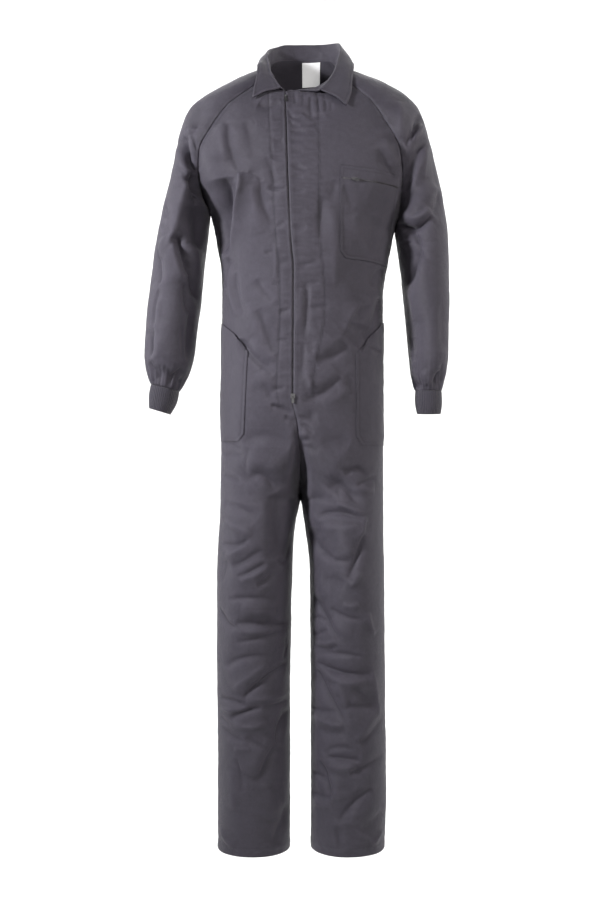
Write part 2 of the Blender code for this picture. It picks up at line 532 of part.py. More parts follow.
def patch(name, grid, outline, lift, thickness, made_material, mouth=None, gape=0.0):
    """A flat patch sewn on a panel: the panel's own facets, trimmed to an outline and moved out.

    The outline is a convex loop of (x, z) corners, anticlockwise as seen from the front. A mouth
    is a line from one (x, z) point to another, along which the patch stands off by the gape.
    """
    gape_reach = 16 * MM
    bm = sheet(grid)
    corners = [Vector((x, 0, z)) for x, z in outline]
    for start, end in zip(corners, corners[1:] + corners[:1]):
        along = end - start
        outward = Vector((along.z, 0, -along.x)).normalized()
        geometry = bm.verts[:] + bm.edges[:] + bm.faces[:]
        bmesh.ops.bisect_plane(bm, geom=geometry, plane_co=start, plane_no=outward, clear_outer=True)
    bmesh.ops.dissolve_degenerate(bm, dist=0.2 * MM, edges=bm.edges[:])
    bmesh.ops.triangulate(bm, faces=bm.faces[:])
    bm.normal_update()
    facing = -1.0 if sum((f.normal.y for f in bm.faces)) > 0 else 1.0
    normals = [vertex.normal.copy() * facing for vertex in bm.verts]
    for vertex, normal in zip(bm.verts, normals):
        extra = 0.0
        if mouth:
            start, end = (Vector((x, 0, z)) for x, z in mouth)
            flat = Vector((vertex.co.x, 0, vertex.co.z))
            along = (end - start).normalized()
            reach = min(max((flat - start).dot(along), 0.0), (end - start).length)
            distance = (flat - start - along * reach).length
            extra = gape * math.exp(-(distance / gape_reach)**2)
        vertex.co += normal * (lift + extra)
    thicken(bm, [normal * thickness for normal in normals])
    return add_object(name, bm, made_material)


def strip(name, centres, across, outward, width, thickness, made_material):
    """A flat strip along a line of centres, as wide (in lengths of "across") and thick as given."""
    rows = len(centres)
    grid = np.zeros((rows, 2, 3))
    grid[:, 0] = centres - across * width / 2
    grid[:, 1] = centres + across * width / 2
    bm = sheet(grid)
    offsets = np.repeat(-outward * thickness, 2, axis=0)
    thicken(bm, offsets)
    return add_object(name, bm, made_material)


def walk_along(points, distance, values=None):
    """The point at a distance along a line of points, or the value the line has there."""
    steps = np.linalg.norm(np.diff(points, axis=0), axis=1)
    reached = np.concatenate([[0.0], np.cumsum(steps)])
    values = points if values is None else values
    return np.array([np.interp(distance, reached, values[:, k]) for k in range(3)])


def neck_edge(grids, normals):
    """The neckline from the right front's zip edge round the back to the left front's.

    Returns its points and, for each, the way on past the edge, along the cloth.
    """
    order = [("front_right", 1), ("sleeve_right", 1), ("back_upper", 1), ("sleeve_left", -1),
             ("front_left", -1)]
    line = np.concatenate([grids[name][0][::way][1:] for name, way in order])
    facing = np.concatenate([normals[name][0][::way][1:] for name, way in order])
    onward = np.cross(np.gradient(line, axis=0), facing)
    return line, onward / np.linalg.norm(onward, axis=1)[:, None]


def collar(grids, normals, made_material):
    """Stand and fall in one folded piece, from the right front round the back to the left."""
    table = Table("c reach lift rx ry rz ex ey ez", [
        (0, 0.000, 2.4, -0.0400, -0.0735, -0.0570, -0.0986, -0.0850, -0.0818),
        (1, 0.028, 1.0, -0.0543, -0.0550, -0.0320, -0.0960, -0.0740, -0.0570),
        (2, 0.060, 0.7, -0.0632, -0.0340, -0.0090, -0.0915, -0.0560, -0.0310),
        (3, 0.092, 0.7, -0.0660, -0.0080, 0.0165, -0.0905, -0.0200, 0.0040),
        (4, 0.119, 0.8, -0.0700, 0.0180, 0.0410, -0.0930, 0.0220, 0.0140),
        (5, 0.149, 0.7, -0.0655, 0.0440, 0.0560, -0.0920, 0.0580, 0.0200),
        (6, 0.176, 0.6, -0.0520, 0.0640, 0.0670, -0.0780, 0.0880, 0.0200),
        (7, 0.205, 0.6, -0.0294, 0.0780, 0.0768, -0.0420, 0.1060, 0.0200),
        (8, 0.235, 0.6, 0.0020, 0.0830, 0.0785, 0.0000, 0.1120, 0.0200),
        (9, 0.265, 0.7, 0.0360, 0.0800, 0.0778, 0.0440, 0.1070, 0.0210),
        (10, 0.297, 1.1, 0.0620, 0.0660, 0.0755, 0.0800, 0.0900, 0.0230),
        (11, 0.323, 0.8, 0.0750, 0.0420, 0.0680, 0.1000, 0.0560, 0.0220),
        (12, 0.354, 0.9, 0.0770, 0.0160, 0.0480, 0.1070, 0.0150, 0.0160),
        (13, 0.383, 0.7, 0.0720, -0.0100, 0.0214, 0.1060, -0.0140, 0.0010),
        (14, 0.415, 0.7, 0.0660, -0.0330, -0.0053, 0.1015, -0.0460, -0.0300),
        (15, 0.451, 1.6, 0.0510, -0.0590, -0.0390, 0.0985, -0.0750, -0.0660),
        (16, 0.486, 3.4, 0.0335, -0.0770, -0.0620, 0.0882, -0.0985, -0.0995)])
    line, onward = neck_edge(grids, normals)
    fold_half = 3.0 * MM
    rows = []
    for c in np.linspace(0, 16, COLLAR_SECTIONS):
        reach = table.at("reach", c)
        seam = walk_along(line, reach)
        seam = seam + walk_along(line, reach, onward) * table.at("lift", c) * MM
        roll = table.point("rx ry rz", c)
        edge = table.point("ex ey ez", c)
        out = (edge - roll) * np.array([1, 1, 0])
        out /= np.linalg.norm(out)
        up = np.array([0, 0, 1.0])
        inside = roll - up * fold_half * 0.8
        outside = roll + out * 2 * fold_half - up * fold_half * 0.8
        crown = roll + out * fold_half + up * fold_half * 0.3
        middle = (outside + edge) / 2 + (out + up) * 2.5 * MM
        rows.append([seam, (seam + inside) / 2, inside, crown, outside, middle, edge])
    grid = np.array(rows)
    normals = grid_normals(grid, grid.reshape(-1, 3).mean(axis=0))
    normals /= np.linalg.norm(normals, axis=2)[..., None]
    if normals[COLLAR_SECTIONS // 2, 3, 2] < 0:
        normals = -normals
    bm = sheet(grid)
    thicken(bm, -normals.reshape(-1, 3) * COLLAR_CLOTH)
    return add_object("collar", bm, made_material)


def cuff(side, made_material):
    """A ribbed tube below the sleeve's end: ribs outside, plain inside."""
    below = Table("v ix iz tx tz y depth", {
        RIGHT: [(0, -0.2487, -0.6600, -0.3065, -0.6455, -0.025, 0.0440),
                (1, -0.2545, -0.6830, -0.3095, -0.6700, -0.026, 0.0420),
                (2, -0.2665, -0.7075, -0.3100, -0.6945, -0.027, 0.0350)],
        LEFT: [(0, 0.2296, -0.6590, 0.2830, -0.6590, -0.025, 0.0440),
               (1, 0.2300, -0.6820, 0.2830, -0.6820, -0.026, 0.0420),
               (2, 0.2330, -0.7060, 0.2810, -0.7060, -0.027, 0.0360)]}[side])
    columns = 2 * CUFF_RIBS
    outer, inner = [], []
    for v in (0.0, 1.0, 2.0):
        start = np.array([below.at("ix", v), below.at("y", v), below.at("iz", v)])
        end = np.array([below.at("tx", v), below.at("y", v), below.at("tz", v)])
        middle = (start + end) / 2
        if v == 0.0:
            drop = np.array([0, 0, SEAM_GAP])
            start, end, middle = start - drop, end - drop, middle - drop
        reach = np.array([0, below.at("depth", v), 0])
        ring = []
        for k in range(columns + 1):
            u = k / columns
            if u <= 0.5:
                ring.append(cubic(start, start - reach, end - reach, end, 2 * u))
            else:
                ring.append(cubic(end, end + reach, start + reach, start, 2 * u - 1))
        ring = np.array(ring)
        arms = ring - middle
        arms /= np.linalg.norm(arms, axis=1)[:, None]
        ribs = np.where(np.arange(columns + 1) % 2 == 0, 0.0, CUFF_RIB_HEIGHT)
        outer.append(ring - arms * (CUFF_RIB_HEIGHT - ribs)[:, None])
        inner.append(ring - arms * CUFF_WALL)
    outer, inner = np.array(outer), np.array(inner)
    bm = sheet(outer)
    offsets = (inner - outer).reshape(-1, 3)
    layer = bm.verts.layers.int.new("grid_point")
    bm.verts.ensure_lookup_table()
    for i, vertex in enumerate(bm.verts):
        vertex[layer] = i
    bmesh.ops.remove_doubles(bm, verts=bm.verts[:], dist=0.01 * MM)
    kept = [offsets[vertex[layer]] for vertex in bm.verts]
    thicken(bm, kept)
    return add_object("cuff_right" if side == RIGHT else "cuff_left", bm, made_material)


def zip_frame(origin, up, out):
    """Placement on a zip: X across the chain, Y up along it, Z straight out of the cloth."""
    up = Vector(up).normalized()
    across = up.cross(Vector(out)).normalized()
    out = across.cross(up)
    placed = Matrix((across, up, out)).transposed().to_4x4()
    placed.translation = Vector(origin)
    return placed


def zip_slider(name, frame, size, made_material):
    """A slider: a rounded plate over the chain, with a wire bridge that holds the pull.

    Returns how high the bridge's axis lies over the zip's face.
    """
    width, length = size["width"], size["length"]
    centre_height = SLIDER_LIFT + SLIDER_PLATE / 2
    bm = bmesh.new()
    plate = bmesh.ops.create_cube(bm, size=1.0)["verts"]
    bmesh.ops.scale(bm, vec=(width, length, SLIDER_PLATE), verts=plate)
    bmesh.ops.translate(bm, vec=(0, 0, centre_height), verts=plate)
    upright = [e for e in bm.edges if abs(e.verts[0].co.z - e.verts[1].co.z) > SLIDER_PLATE / 2]
    bmesh.ops.bevel(bm, geom=upright, offset=width * 0.3, segments=2, profile=0.5, material=-1,
                    affect="EDGES")
    made = add_object(name, bm, made_material)
    made.matrix_world = frame
    axis = SLIDER_LIFT + SLIDER_PLATE + size["axis"]
    leg = axis - centre_height
    arch = bmesh.new()
    ring = bmesh.ops.create_circle(arch, cap_ends=True, segments=8, radius=size["wire"])["verts"]
    bmesh.ops.translate(arch, vec=(0, -size["bridge"], centre_height), verts=ring)
    risen = bmesh.ops.extrude_face_region(arch, geom=arch.faces[:], use_keep_orig=True)["geom"]
    bmesh.ops.translate(arch, vec=(0, 0, leg),
                        verts=[v for v in risen if isinstance(v, bmesh.types.BMVert)])
    top = [f for f in risen if isinstance(f, bmesh.types.BMFace)]
    bmesh.ops.spin(arch, geom=top, cent=(0, 0, axis), axis=(1, 0, 0), dvec=(0, 0, 0),
                   angle=-math.pi, steps=8, use_merge=False)
    far = max(arch.faces, key=lambda f: (len(f.verts) == 8, f.calc_center_median().y))
    end = bmesh.ops.extrude_face_region(arch, geom=[far])["geom"]
    bmesh.ops.translate(arch, vec=(0, 0, -leg),
                        verts=[v for v in end if isinstance(v, bmesh.types.BMVert)])
    inner_caps = [f for f in arch.faces if len(f.verts) == 8
                  and abs(f.calc_center_median().z - axis) < 0.01 * MM]
    bmesh.ops.delete(arch, geom=inner_caps, context="FACES_ONLY")
    bmesh.ops.recalc_face_normals(arch, faces=arch.faces[:])
    mesh = bpy.data.meshes.new(name + "_bridge")
    arch.to_mesh(mesh)
    arch.free()
    bridge = bpy.data.objects.new(name + "_bridge", mesh)
    bridge.matrix_world = frame
    bridge.hide_render = True
    bridge.display_type = "WIRE"
    collection_for("cutters").objects.link(bridge)
    joined = made.modifiers.new("bridge", "BOOLEAN")
    joined.operation = "UNION"
    joined.object = bridge
    return axis


def zip_pull(name, frame, axis_height, size, made_material):
    """A drop-shaped pull that hangs on the bridge, its axis at the object's origin."""
    curve = bpy.data.curves.new(name, "CURVE")
    curve.dimensions = "2D"
    curve.fill_mode = "BOTH"
    curve.extrude = PULL_THICK / 2
    turn = size["width"] / 2
    narrow = turn * 0.8
    bar = 0.75 * MM
    wall = 0.8 * MM
    outline = [(-narrow, bar), (narrow, bar)]
    for k in range(9):
        angle = math.radians(20 - k * 220 / 8)
        outline.append((turn * math.cos(angle), turn - size["length"] + turn * math.sin(angle)))
    eye_end = -bar - size["eye"]
    hole = [(wall - narrow, -bar), (wall - narrow, eye_end), (narrow - wall, eye_end),
            (narrow - wall, -bar)]
    for points in (outline, hole):
        spline = curve.splines.new("POLY")
        spline.points.add(len(points) - 1)
        for target, (x, y) in zip(spline.points, points):
            target.co = (x, y, 0, 1)
        spline.use_cyclic_u = True
    curve.materials.append(made_material)
    made = bpy.data.objects.new(name, curve)
    made.matrix_world = frame @ Matrix.Translation((0, 0, axis_height))
    collection_for("boiler_suit").objects.link(made)
    return made


def front_zip(grids, normals, tape_material, chain_material, metal):
    """Tapes behind the two fronts, the closed chain between them, and two sliders with pulls."""
    rows = SHOULDER_ROWS + BODY_ROWS + HIP_ROWS[1:] + LEG_ROWS
    count = sum(1 for s in rows if s <= 1.70)
    edges = {}
    for side, name in ((RIGHT, "right"), (LEFT, "left")):
        grid = grids["front_" + name][:count]
        out = normals["front_" + name][:count, 0]
        inside = grid - normals["front_" + name][:count] * (CLOTH + 2 * SEAM_GAP)
        far = np.array([walk_along(row, TAPE_WIDTH) for row in inside])
        along = far - inside[:, 0]
        middle = (inside[:, 0] + far) / 2
        strip("front_zip_tape_" + name, middle, along, out, 1.0, TAPE_THICK, tape_material)
        edges[side] = grid[:, 0]
    centres = (edges[RIGHT] + edges[LEFT]) / 2
    out = normals["front_right"][:count, 0] + normals["front_left"][:count, 0]
    out[:, 0] = 0
    out /= np.linalg.norm(out, axis=1)[:, None]
    across = np.tile([1.0, 0.0, 0.0], (count, 1))
    strip("front_zip_chain", centres - out * 0.2 * MM, across, out, CHAIN_WIDTH, CHAIN_THICK,
          chain_material)
    for name, z in (("top", ZIP_TOP - 0.009), ("bottom", ZIP_BOTTOM + 0.016)):
        height = -centres[:, 2]
        origin = [np.interp(-z, height, centres[:, k]) for k in range(3)]
        facing = [np.interp(-z, height, out[:, k]) for k in range(3)]
        k = min(max(int(np.searchsorted(height, -z)), 1), count - 1)
        frame = zip_frame(origin, centres[k - 1] - centres[k], facing)
        axis = zip_slider("front_zip_slider_" + name, frame, FRONT_SLIDER, metal)
        zip_pull("front_zip_pull_" + name, frame, axis, FRONT_PULL, metal)


def surface_at(grid, x, z):
    """The point of a front where a line straight back from (x, z) meets it, and its normal."""
    tree = BVHTree.FromBMesh(sheet(grid))
    point, normal = tree.ray_cast(Vector((x, -1, z)), Vector((0, 1, 0)))[:2]
    return point, normal if normal.y < 0 else -normal


def chest_pocket(grid, twill, teeth, metal):
    """A zipped patch pocket on the wearer's left breast, in two pieces with the zip between."""
    left, right = 0.0745, 0.1935
    top_left, top_right = -0.2225, -0.2337
    zip_left, zip_right = -0.2490, -0.2580
    half_zip = 2.6 * MM
    chain_thick = 1.4 * MM
    bottom_left, corner_z, bottom_right = -0.391, -0.4047, -0.4085
    corner_x, lower_right = 0.0851, 0.173
    patch("chest_pocket_band", grid, [
        (left, zip_left + half_zip), (right, zip_right + half_zip), (right + 0.001, top_right),
        (left + 0.001, top_left)], SEAM_GAP, PATCH_CLOTH, twill)
    patch("chest_pocket_bag", grid, [
        (corner_x, corner_z), (lower_right, bottom_right), (right, zip_right - half_zip),
        (left, zip_left - half_zip), (left - 0.001, bottom_left)], SEAM_GAP, PATCH_CLOTH, twill)
    start, end = left + 4 * MM, right - 3 * MM
    slope = (zip_right - zip_left) / (right - left)
    z_at = {x: zip_left + slope * (x - left) for x in (start, end)}
    half_chain = CHAIN_WIDTH / 2
    patch("chest_zip_chain", grid, [
        (start, z_at[start] - half_chain), (end, z_at[end] - half_chain),
        (end, z_at[end] + half_chain), (start, z_at[start] + half_chain)],
        SEAM_GAP, chain_thick, teeth)
    x = start + 27 * MM
    point, facing = surface_at(grid, x, zip_left + slope * (x - left))
    ahead = surface_at(grid, x + 8 * MM, zip_left + slope * (x + 8 * MM - left))[0]
    frame = zip_frame(point + facing * chain_thick, ahead - point, facing)
    axis = zip_slider("chest_zip_slider", frame, CHEST_SLIDER, metal)
    zip_pull("chest_zip_pull", frame, axis, CHEST_PULL, metal)


def hip_pockets(grids, twill):
    """Patch pockets whose slanted mouths start at the side seams."""
    corners = {
        RIGHT: {"side_bottom": (0.200, -0.762), "bottom": (0.126, -0.762),
                "inner_bottom": (0.1143, -0.7475), "inner_top": (0.1064, -0.586),
                "mouth_start": (0.131, -0.549), "mouth_end": (0.1607, -0.523),
                "side_top": (0.200, -0.490)},
        LEFT: {"side_bottom": (0.200, -0.770), "bottom": (0.118, -0.770),
               "inner_bottom": (0.1065, -0.7520), "inner_top": (0.1061, -0.590),
               "mouth_start": (0.1340, -0.553), "mouth_end": (0.1640, -0.520),
               "side_top": (0.200, -0.482)}}
    for side, name in ((RIGHT, "right"), (LEFT, "left")):
        placed = {corner: (side * x, z) for corner, (x, z) in corners[side].items()}
        outline = list(placed.values())
        if side == LEFT:
            outline.reverse()
        mouth_x, mouth_z = placed["mouth_end"]
        mouth = [placed["mouth_start"], (mouth_x - side * 0.012, mouth_z - 0.010)]
        patch("hip_pocket_" + name, grids["front_" + name], outline, SEAM_GAP, PATCH_CLOTH, twill,
              mouth, POCKET_GAPE)


def neck_label(grid, normals, satin):
    """A bare woven label that hangs inside the back neck."""
    inside = grid - normals * CLOTH
    patch("neck_label", inside, [(0.001, -0.009), (0.0375, -0.006), (0.0385, 0.037),
                                 (0.0005, 0.038)], 0.5 * MM, LABEL_THICK, satin)


def build_suit():
    """Makes every piece of the suit."""
    twill = material("twill", (0.075, 0.072, 0.085), 0.75)
    knit = material("rib_knit", (0.060, 0.058, 0.068), 0.85)
    tape = material("zip_tape", (0.050, 0.048, 0.056), 0.80)
    teeth = material("zip_teeth", (0.040, 0.038, 0.042), 0.45)
    metal = material("nickel", (0.62, 0.61, 0.60), 0.28, 1.0)
    woven_label = material("label_satin", (0.86, 0.86, 0.85), 0.60)
    grids = cloth_grids()
    normals = shared_normals(grids)
    for name, grid in grids.items():
        grid += normals[name] * fold_height(grid, normals[name])[..., None]
        if name.startswith("sleeve"):
            gather_sleeve(grid, normals[name], SHOULDER_ROWS + ARM_ROWS)
    normals = shared_normals(grids)
    for name, grid in grids.items():
        cloth_wall(name, grid, normals[name], CLOTH, twill)
    collar(grids, normals, twill)
    for side in (RIGHT, LEFT):
        cuff(side, knit)
    front_zip(grids, normals, tape, teeth, metal)
    chest_pocket(grids["front_left"], twill, teeth, metal)
    hip_pockets(grids, twill)
    neck_label(grids["back_upper"], normals["back_upper"], woven_label)


for old in list(bpy.data.objects):
    bpy.data.objects.remove(old, do_unlink=True)
build_suit()
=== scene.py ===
# %% [markdown]
# # A boiler suit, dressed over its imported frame
# The suit is cut like a real one: two fronts, a back above the waist seam and two below it, two
# raglan sleeves, a collar, rib cuffs, pockets and zips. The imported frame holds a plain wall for
# each of them. Here every piece of cloth is made again on the same seam lines, much finer, with
# its folds, sewing and weave, and then stands in for its plain wall.

# %% Load the frame
import math

import bmesh
import bpy
import numpy as np
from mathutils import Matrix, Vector, noise
from mathutils.bvhtree import BVHTree


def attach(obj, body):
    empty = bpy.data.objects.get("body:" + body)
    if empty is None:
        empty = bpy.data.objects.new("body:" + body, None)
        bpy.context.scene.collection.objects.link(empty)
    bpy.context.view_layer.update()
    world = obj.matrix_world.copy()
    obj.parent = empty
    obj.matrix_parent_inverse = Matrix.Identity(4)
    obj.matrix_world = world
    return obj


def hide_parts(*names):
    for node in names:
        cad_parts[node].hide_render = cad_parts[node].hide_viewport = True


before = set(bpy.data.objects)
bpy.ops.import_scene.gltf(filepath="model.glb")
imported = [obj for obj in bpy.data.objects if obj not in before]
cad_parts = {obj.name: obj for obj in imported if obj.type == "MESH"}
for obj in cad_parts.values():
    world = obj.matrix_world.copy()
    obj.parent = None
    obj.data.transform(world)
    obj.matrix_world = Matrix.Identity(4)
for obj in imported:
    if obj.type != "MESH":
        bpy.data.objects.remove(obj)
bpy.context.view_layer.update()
MM = 0.001
scene = bpy.context.scene

# %% [markdown]
# ## The camera
# The camera stands 2.5 m away at the middle of the suit's height, so that the whole garment is
# seen straight on. It comes first, so that each piece can be judged from there.

# %% Camera
camera_data = bpy.data.cameras.new("camera")
camera_data.lens = 48.8
camera_data.sensor_width = 36
camera = bpy.data.objects.new("camera", camera_data)
camera.location = (-0.0041, -2.5, -0.779)
camera.rotation_euler = (math.radians(90), 0, 0)
scene.collection.objects.link(camera)
scene.camera = camera
print("camera at", tuple(round(v, 3) for v in camera.location))

# %% [markdown]
# ## The pattern: seam lines and rows
# Cloth is cut from a pattern, so the suit starts from one. A few short tables give where the seams
# run and how deep the body is at each height. "s" counts along the body: 0 at the neck, 1 at the
# underarm, 2 at the fork and 3 at the hem; along a sleeve 2 is its end. A row of cloth is one
# cubic curve from seam to seam. The tables are read smoothly, so that no row makes a kink.

# %% Tables with named columns
NECK_FRONT_DROP = 0.064     # neck base down to the top of the zip
CROTCH_DROP = 0.882         # neck base down to the fork
HEM_DROP = 1.588            # neck base down to the hems
WAIST_DROP = 0.440          # back waist seam
ZIP_OPENING = 1.8 * MM      # between the two fronts along the zip
ZIP_BOTTOM = -0.690         # height of the zip's lower end
ZIP_PINCH = -0.342          # height where its two edges lie closest
SIDE_SEAM_DEPTH = 5.0 * MM  # how far the side seam lies behind the middle
CLOTH = 1.6 * MM            # thickness of the twill
RIGHT, LEFT = -1, 1         # the wearer's sides, as signs of X


class Table:
    """A short table with named columns, read smoothly between its rows."""

    def __init__(self, columns, rows):
        self.columns = {name: np.array([row[i] for row in rows], float)
                        for i, name in enumerate(columns.split())}
        self.keys = next(iter(self.columns.values()))

    def at(self, name, key):
        values = self.columns[name]
        rates = np.diff(values) / np.diff(self.keys)
        slopes = np.empty_like(values)
        slopes[0], slopes[-1] = rates[0], rates[-1]
        same_way = rates[1:] * rates[:-1] > 0
        total = np.where(same_way, rates[1:] + rates[:-1], 1)
        slopes[1:-1] = np.where(same_way, 2 * rates[1:] * rates[:-1] / total, 0)
        key = min(max(key, self.keys[0]), self.keys[-1])
        i = min(int(np.searchsorted(self.keys, key, "right")) - 1, len(self.keys) - 2)
        width = self.keys[i + 1] - self.keys[i]
        f = (key - self.keys[i]) / width
        return ((2 * f**3 - 3 * f**2 + 1) * values[i] + (f**3 - 2 * f**2 + f) * width * slopes[i]
                + (3 * f**2 - 2 * f**3) * values[i + 1] + (f**3 - f**2) * width * slopes[i + 1])

    def point(self, names, key):
        return np.array([self.at(name, key) for name in names.split()])


# Seam lines. "s" runs 0 to 1 from the neck to the underarm, to 2 at the fork and to 3 at the hem.
RAGLAN_FRONT = {
    RIGHT: Table("s x y z", [
        (0, -0.07, -0.036, -0.02),
        (0.15, -0.098, -0.054, -0.049),
        (0.35, -0.151, -0.076, -0.095),
        (0.55, -0.185, -0.083, -0.146),
        (0.7, -0.204, -0.08, -0.184),
        (0.82, -0.207, -0.062, -0.225),
        (0.92, -0.2, -0.032, -0.265),
        (1, -0.188, 0.005, -0.292)]),
    LEFT: Table("s x y z", [
        (0, 0.074, -0.036, -0.022),
        (0.15, 0.102, -0.055, -0.049),
        (0.35, 0.139, -0.076, -0.0855),
        (0.55, 0.166, -0.082, -0.129),
        (0.7, 0.194, -0.08, -0.184),
        (0.82, 0.2, -0.064, -0.232),
        (0.92, 0.198, -0.034, -0.288),
        (1, 0.19, 0.005, -0.332)])}
RAGLAN_BACK = {
    RIGHT: Table("s x y z", [
        (0, -0.056, 0.055, 0.034),
        (0.15, -0.088, 0.08, -0.002),
        (0.35, -0.138, 0.098, -0.062),
        (0.55, -0.178, 0.101, -0.13),
        (0.7, -0.199, 0.091, -0.18),
        (0.82, -0.206, 0.068, -0.225),
        (0.92, -0.2, 0.036, -0.265),
        (1, -0.188, 0.005, -0.292)]),
    LEFT: Table("s x y z", [
        (0, 0.06, 0.055, 0.036),
        (0.15, 0.092, 0.08, -0.002),
        (0.35, 0.134, 0.098, -0.062),
        (0.55, 0.17, 0.101, -0.132),
        (0.7, 0.193, 0.091, -0.186),
        (0.82, 0.2, 0.068, -0.238),
        (0.92, 0.198, 0.036, -0.29),
        (1, 0.19, 0.005, -0.332)])}

# Outer side of the body and legs at each height, and the inner side of each leg.
SIDE_WIDTH = {
    RIGHT: Table("z x", [
        (-1.588, -0.172), (-1.35, -0.172), (-1.23, -0.174), (-1.045, -0.174), (-0.984, -0.172),
        (-0.92, -0.168), (-0.83, -0.166), (-0.7, -0.166), (-0.6, -0.164), (-0.43, -0.164),
        (-0.4, -0.166), (-0.369, -0.172), (-0.338, -0.177), (-0.292, -0.188)]),
    LEFT: Table("z x", [
        (-1.588, 0.168), (-1.48, 0.172), (-1.26, 0.17), (-1.015, 0.168), (-0.95, 0.166),
        (-0.46, 0.166), (-0.43, 0.17), (-0.4, 0.176), (-0.369, 0.182), (-0.332, 0.19)])}
INNER_LEG = {
    RIGHT: Table("z x", [
        (-1.588, -0.0246), (-1.3, -0.0246), (-1.15, -0.0226), (-1.045, -0.0205),
        (-0.984, -0.0185), (-0.953, -0.0164), (-0.9225, -0.0123), (-0.8925, -0.0055),
        (-0.882, -0.003)]),
    LEFT: Table("z x", [
        (-1.588, 0.0185), (-1.35, 0.0185), (-1.03, 0.0164), (-0.984, 0.0123), (-0.953, 0.0082),
        (-0.9225, 0.0041), (-0.8925, -0.0005), (-0.882, -0.003)])}

# The zip line, off the centre to the wearer's right, and the fly seam below it.
ZIP_LINE = Table("z x", [
    (-CROTCH_DROP, -0.003), (-0.8, -0.004), (-0.73, -0.009), (-0.684, -0.018), (-0.42, -0.017),
    (-0.39, -0.02), (-0.28, -0.0262), (-0.17, -0.03), (-NECK_FRONT_DROP, -0.0332)])

# Height of each row where it meets the centre, and where it meets the side seam.
ROW_HEIGHT = Table("s front back right left", [
    (0, -0.064, 0.045, -0.02, -0.022),
    (0.25, -0.105, 0, -0.07, -0.07),
    (0.5, -0.155, -0.07, -0.13, -0.12),
    (0.75, -0.225, -0.168, -0.2, -0.2),
    (1, -0.3, -0.285, -0.292, -0.332),
    (1.12, -0.365, -0.352, -0.35, -0.38),
    (1.25, -WAIST_DROP, -WAIST_DROP, -WAIST_DROP, -WAIST_DROP),
    (1.5, -0.57, -0.57, -0.57, -0.57),
    (1.7, -0.68, -0.68, -0.68, -0.68),
    (1.82, -0.765, -0.765, -0.765, -0.765),
    (1.9, -0.825, -0.825, -0.825, -0.825),
    (1.96, -0.863, -0.863, -0.868, -0.868),
    (2, -CROTCH_DROP, -CROTCH_DROP, -0.892, -0.892),
    (2.1, -0.95, -0.95, -0.955, -0.955),
    (3, -HEM_DROP, -HEM_DROP, -HEM_DROP, -HEM_DROP)])

# Depth of the centre front and of each row's curve from there to the side. A row is one cubic
# curve: "inner" handles leave the centre or inseam, "outer" handles leave the side seam. The x
# handles are shares of the row's width, the y handles are metres forward.
NECKLINE = {RIGHT: (0, -0.066, 0.45, -0.002, -0.002, 0.15, -0.018, -0.024),
            LEFT: (0, -0.066, 0.55, -0.004, -0.012, 0.06, -0.03, -0.04)}
FRONT_SHAPE = [
    (0.25, -0.088, 0.45, -0.004, 0, 0.28, -0.014, 0),
    (0.5, -0.109, 0.5, -0.004, 0, 0.22, -0.024, 0),
    (0.75, -0.125, 0.55, -0.002, 0, 0.12, -0.04, 0),
    (1, -0.134, 0.6, 0, 0, 0.03, -0.078, 0),
    (1.25, -0.134, 0.6, 0, 0, 0, -0.082, 0),
    (1.5, -0.129, 0.6, 0, 0, 0, -0.08, 0),
    (1.7, -0.124, 0.58, -0.003, 0, 0, -0.082, 0),
    (1.82, -0.111, 0.52, -0.014, 0, 0, -0.092, 0),
    (1.9, -0.084, 0.42, -0.04, 0, 0, -0.106, 0),
    (1.96, -0.042, 0.26, -0.084, 0, 0, -0.13, 0),
    (2, 0.01, 0.1, -0.146, 0, 0, -0.156, 0),
    (2.2, 0.01, 0, -0.158, 0, 0, -0.158, 0),
    (2.5, 0.008, 0, -0.134, 0, 0, -0.134, 0),
    (3, 0, 0, -0.104, 0, 0, -0.104, 0)]
SHAPE_COLUMNS = "s y inner_x inner_y inner_z outer_x outer_y outer_z"
FRONT = {side: Table(SHAPE_COLUMNS, [NECKLINE[side]] + FRONT_SHAPE) for side in (RIGHT, LEFT)}
BACK = Table(SHAPE_COLUMNS, [
    (0, 0.075, 0.5, 0, 0, 0.25, 0.01, 0.004),
    (0.25, 0.096, 0.5, 0.002, 0, 0.35, 0.008, 0),
    (0.5, 0.113, 0.5, 0.002, 0, 0.3, 0.014, 0),
    (0.75, 0.123, 0.55, 0, 0, 0.18, 0.034, 0),
    (1, 0.124, 0.6, 0, 0, 0.03, 0.072, 0),
    (1.25, 0.11, 0.6, 0, 0, 0, 0.066, 0),
    (1.5, 0.114, 0.6, 0, 0, 0, 0.07, 0),
    (1.7, 0.13, 0.58, 0.004, 0, 0, 0.084, 0),
    (1.82, 0.129, 0.52, 0.016, 0, 0, 0.098, 0),
    (1.9, 0.104, 0.42, 0.044, 0, 0, 0.112, 0),
    (1.96, 0.06, 0.26, 0.088, 0, 0, 0.136, 0),
    (2, 0.01, 0.1, 0.15, 0, 0, 0.164, 0),
    (2.2, 0.01, 0, 0.152, 0, 0, 0.154, 0),
    (2.5, 0.008, 0, 0.118, 0, 0, 0.118, 0),
    (3, 0, 0, 0.104, 0, 0, 0.104, 0)])

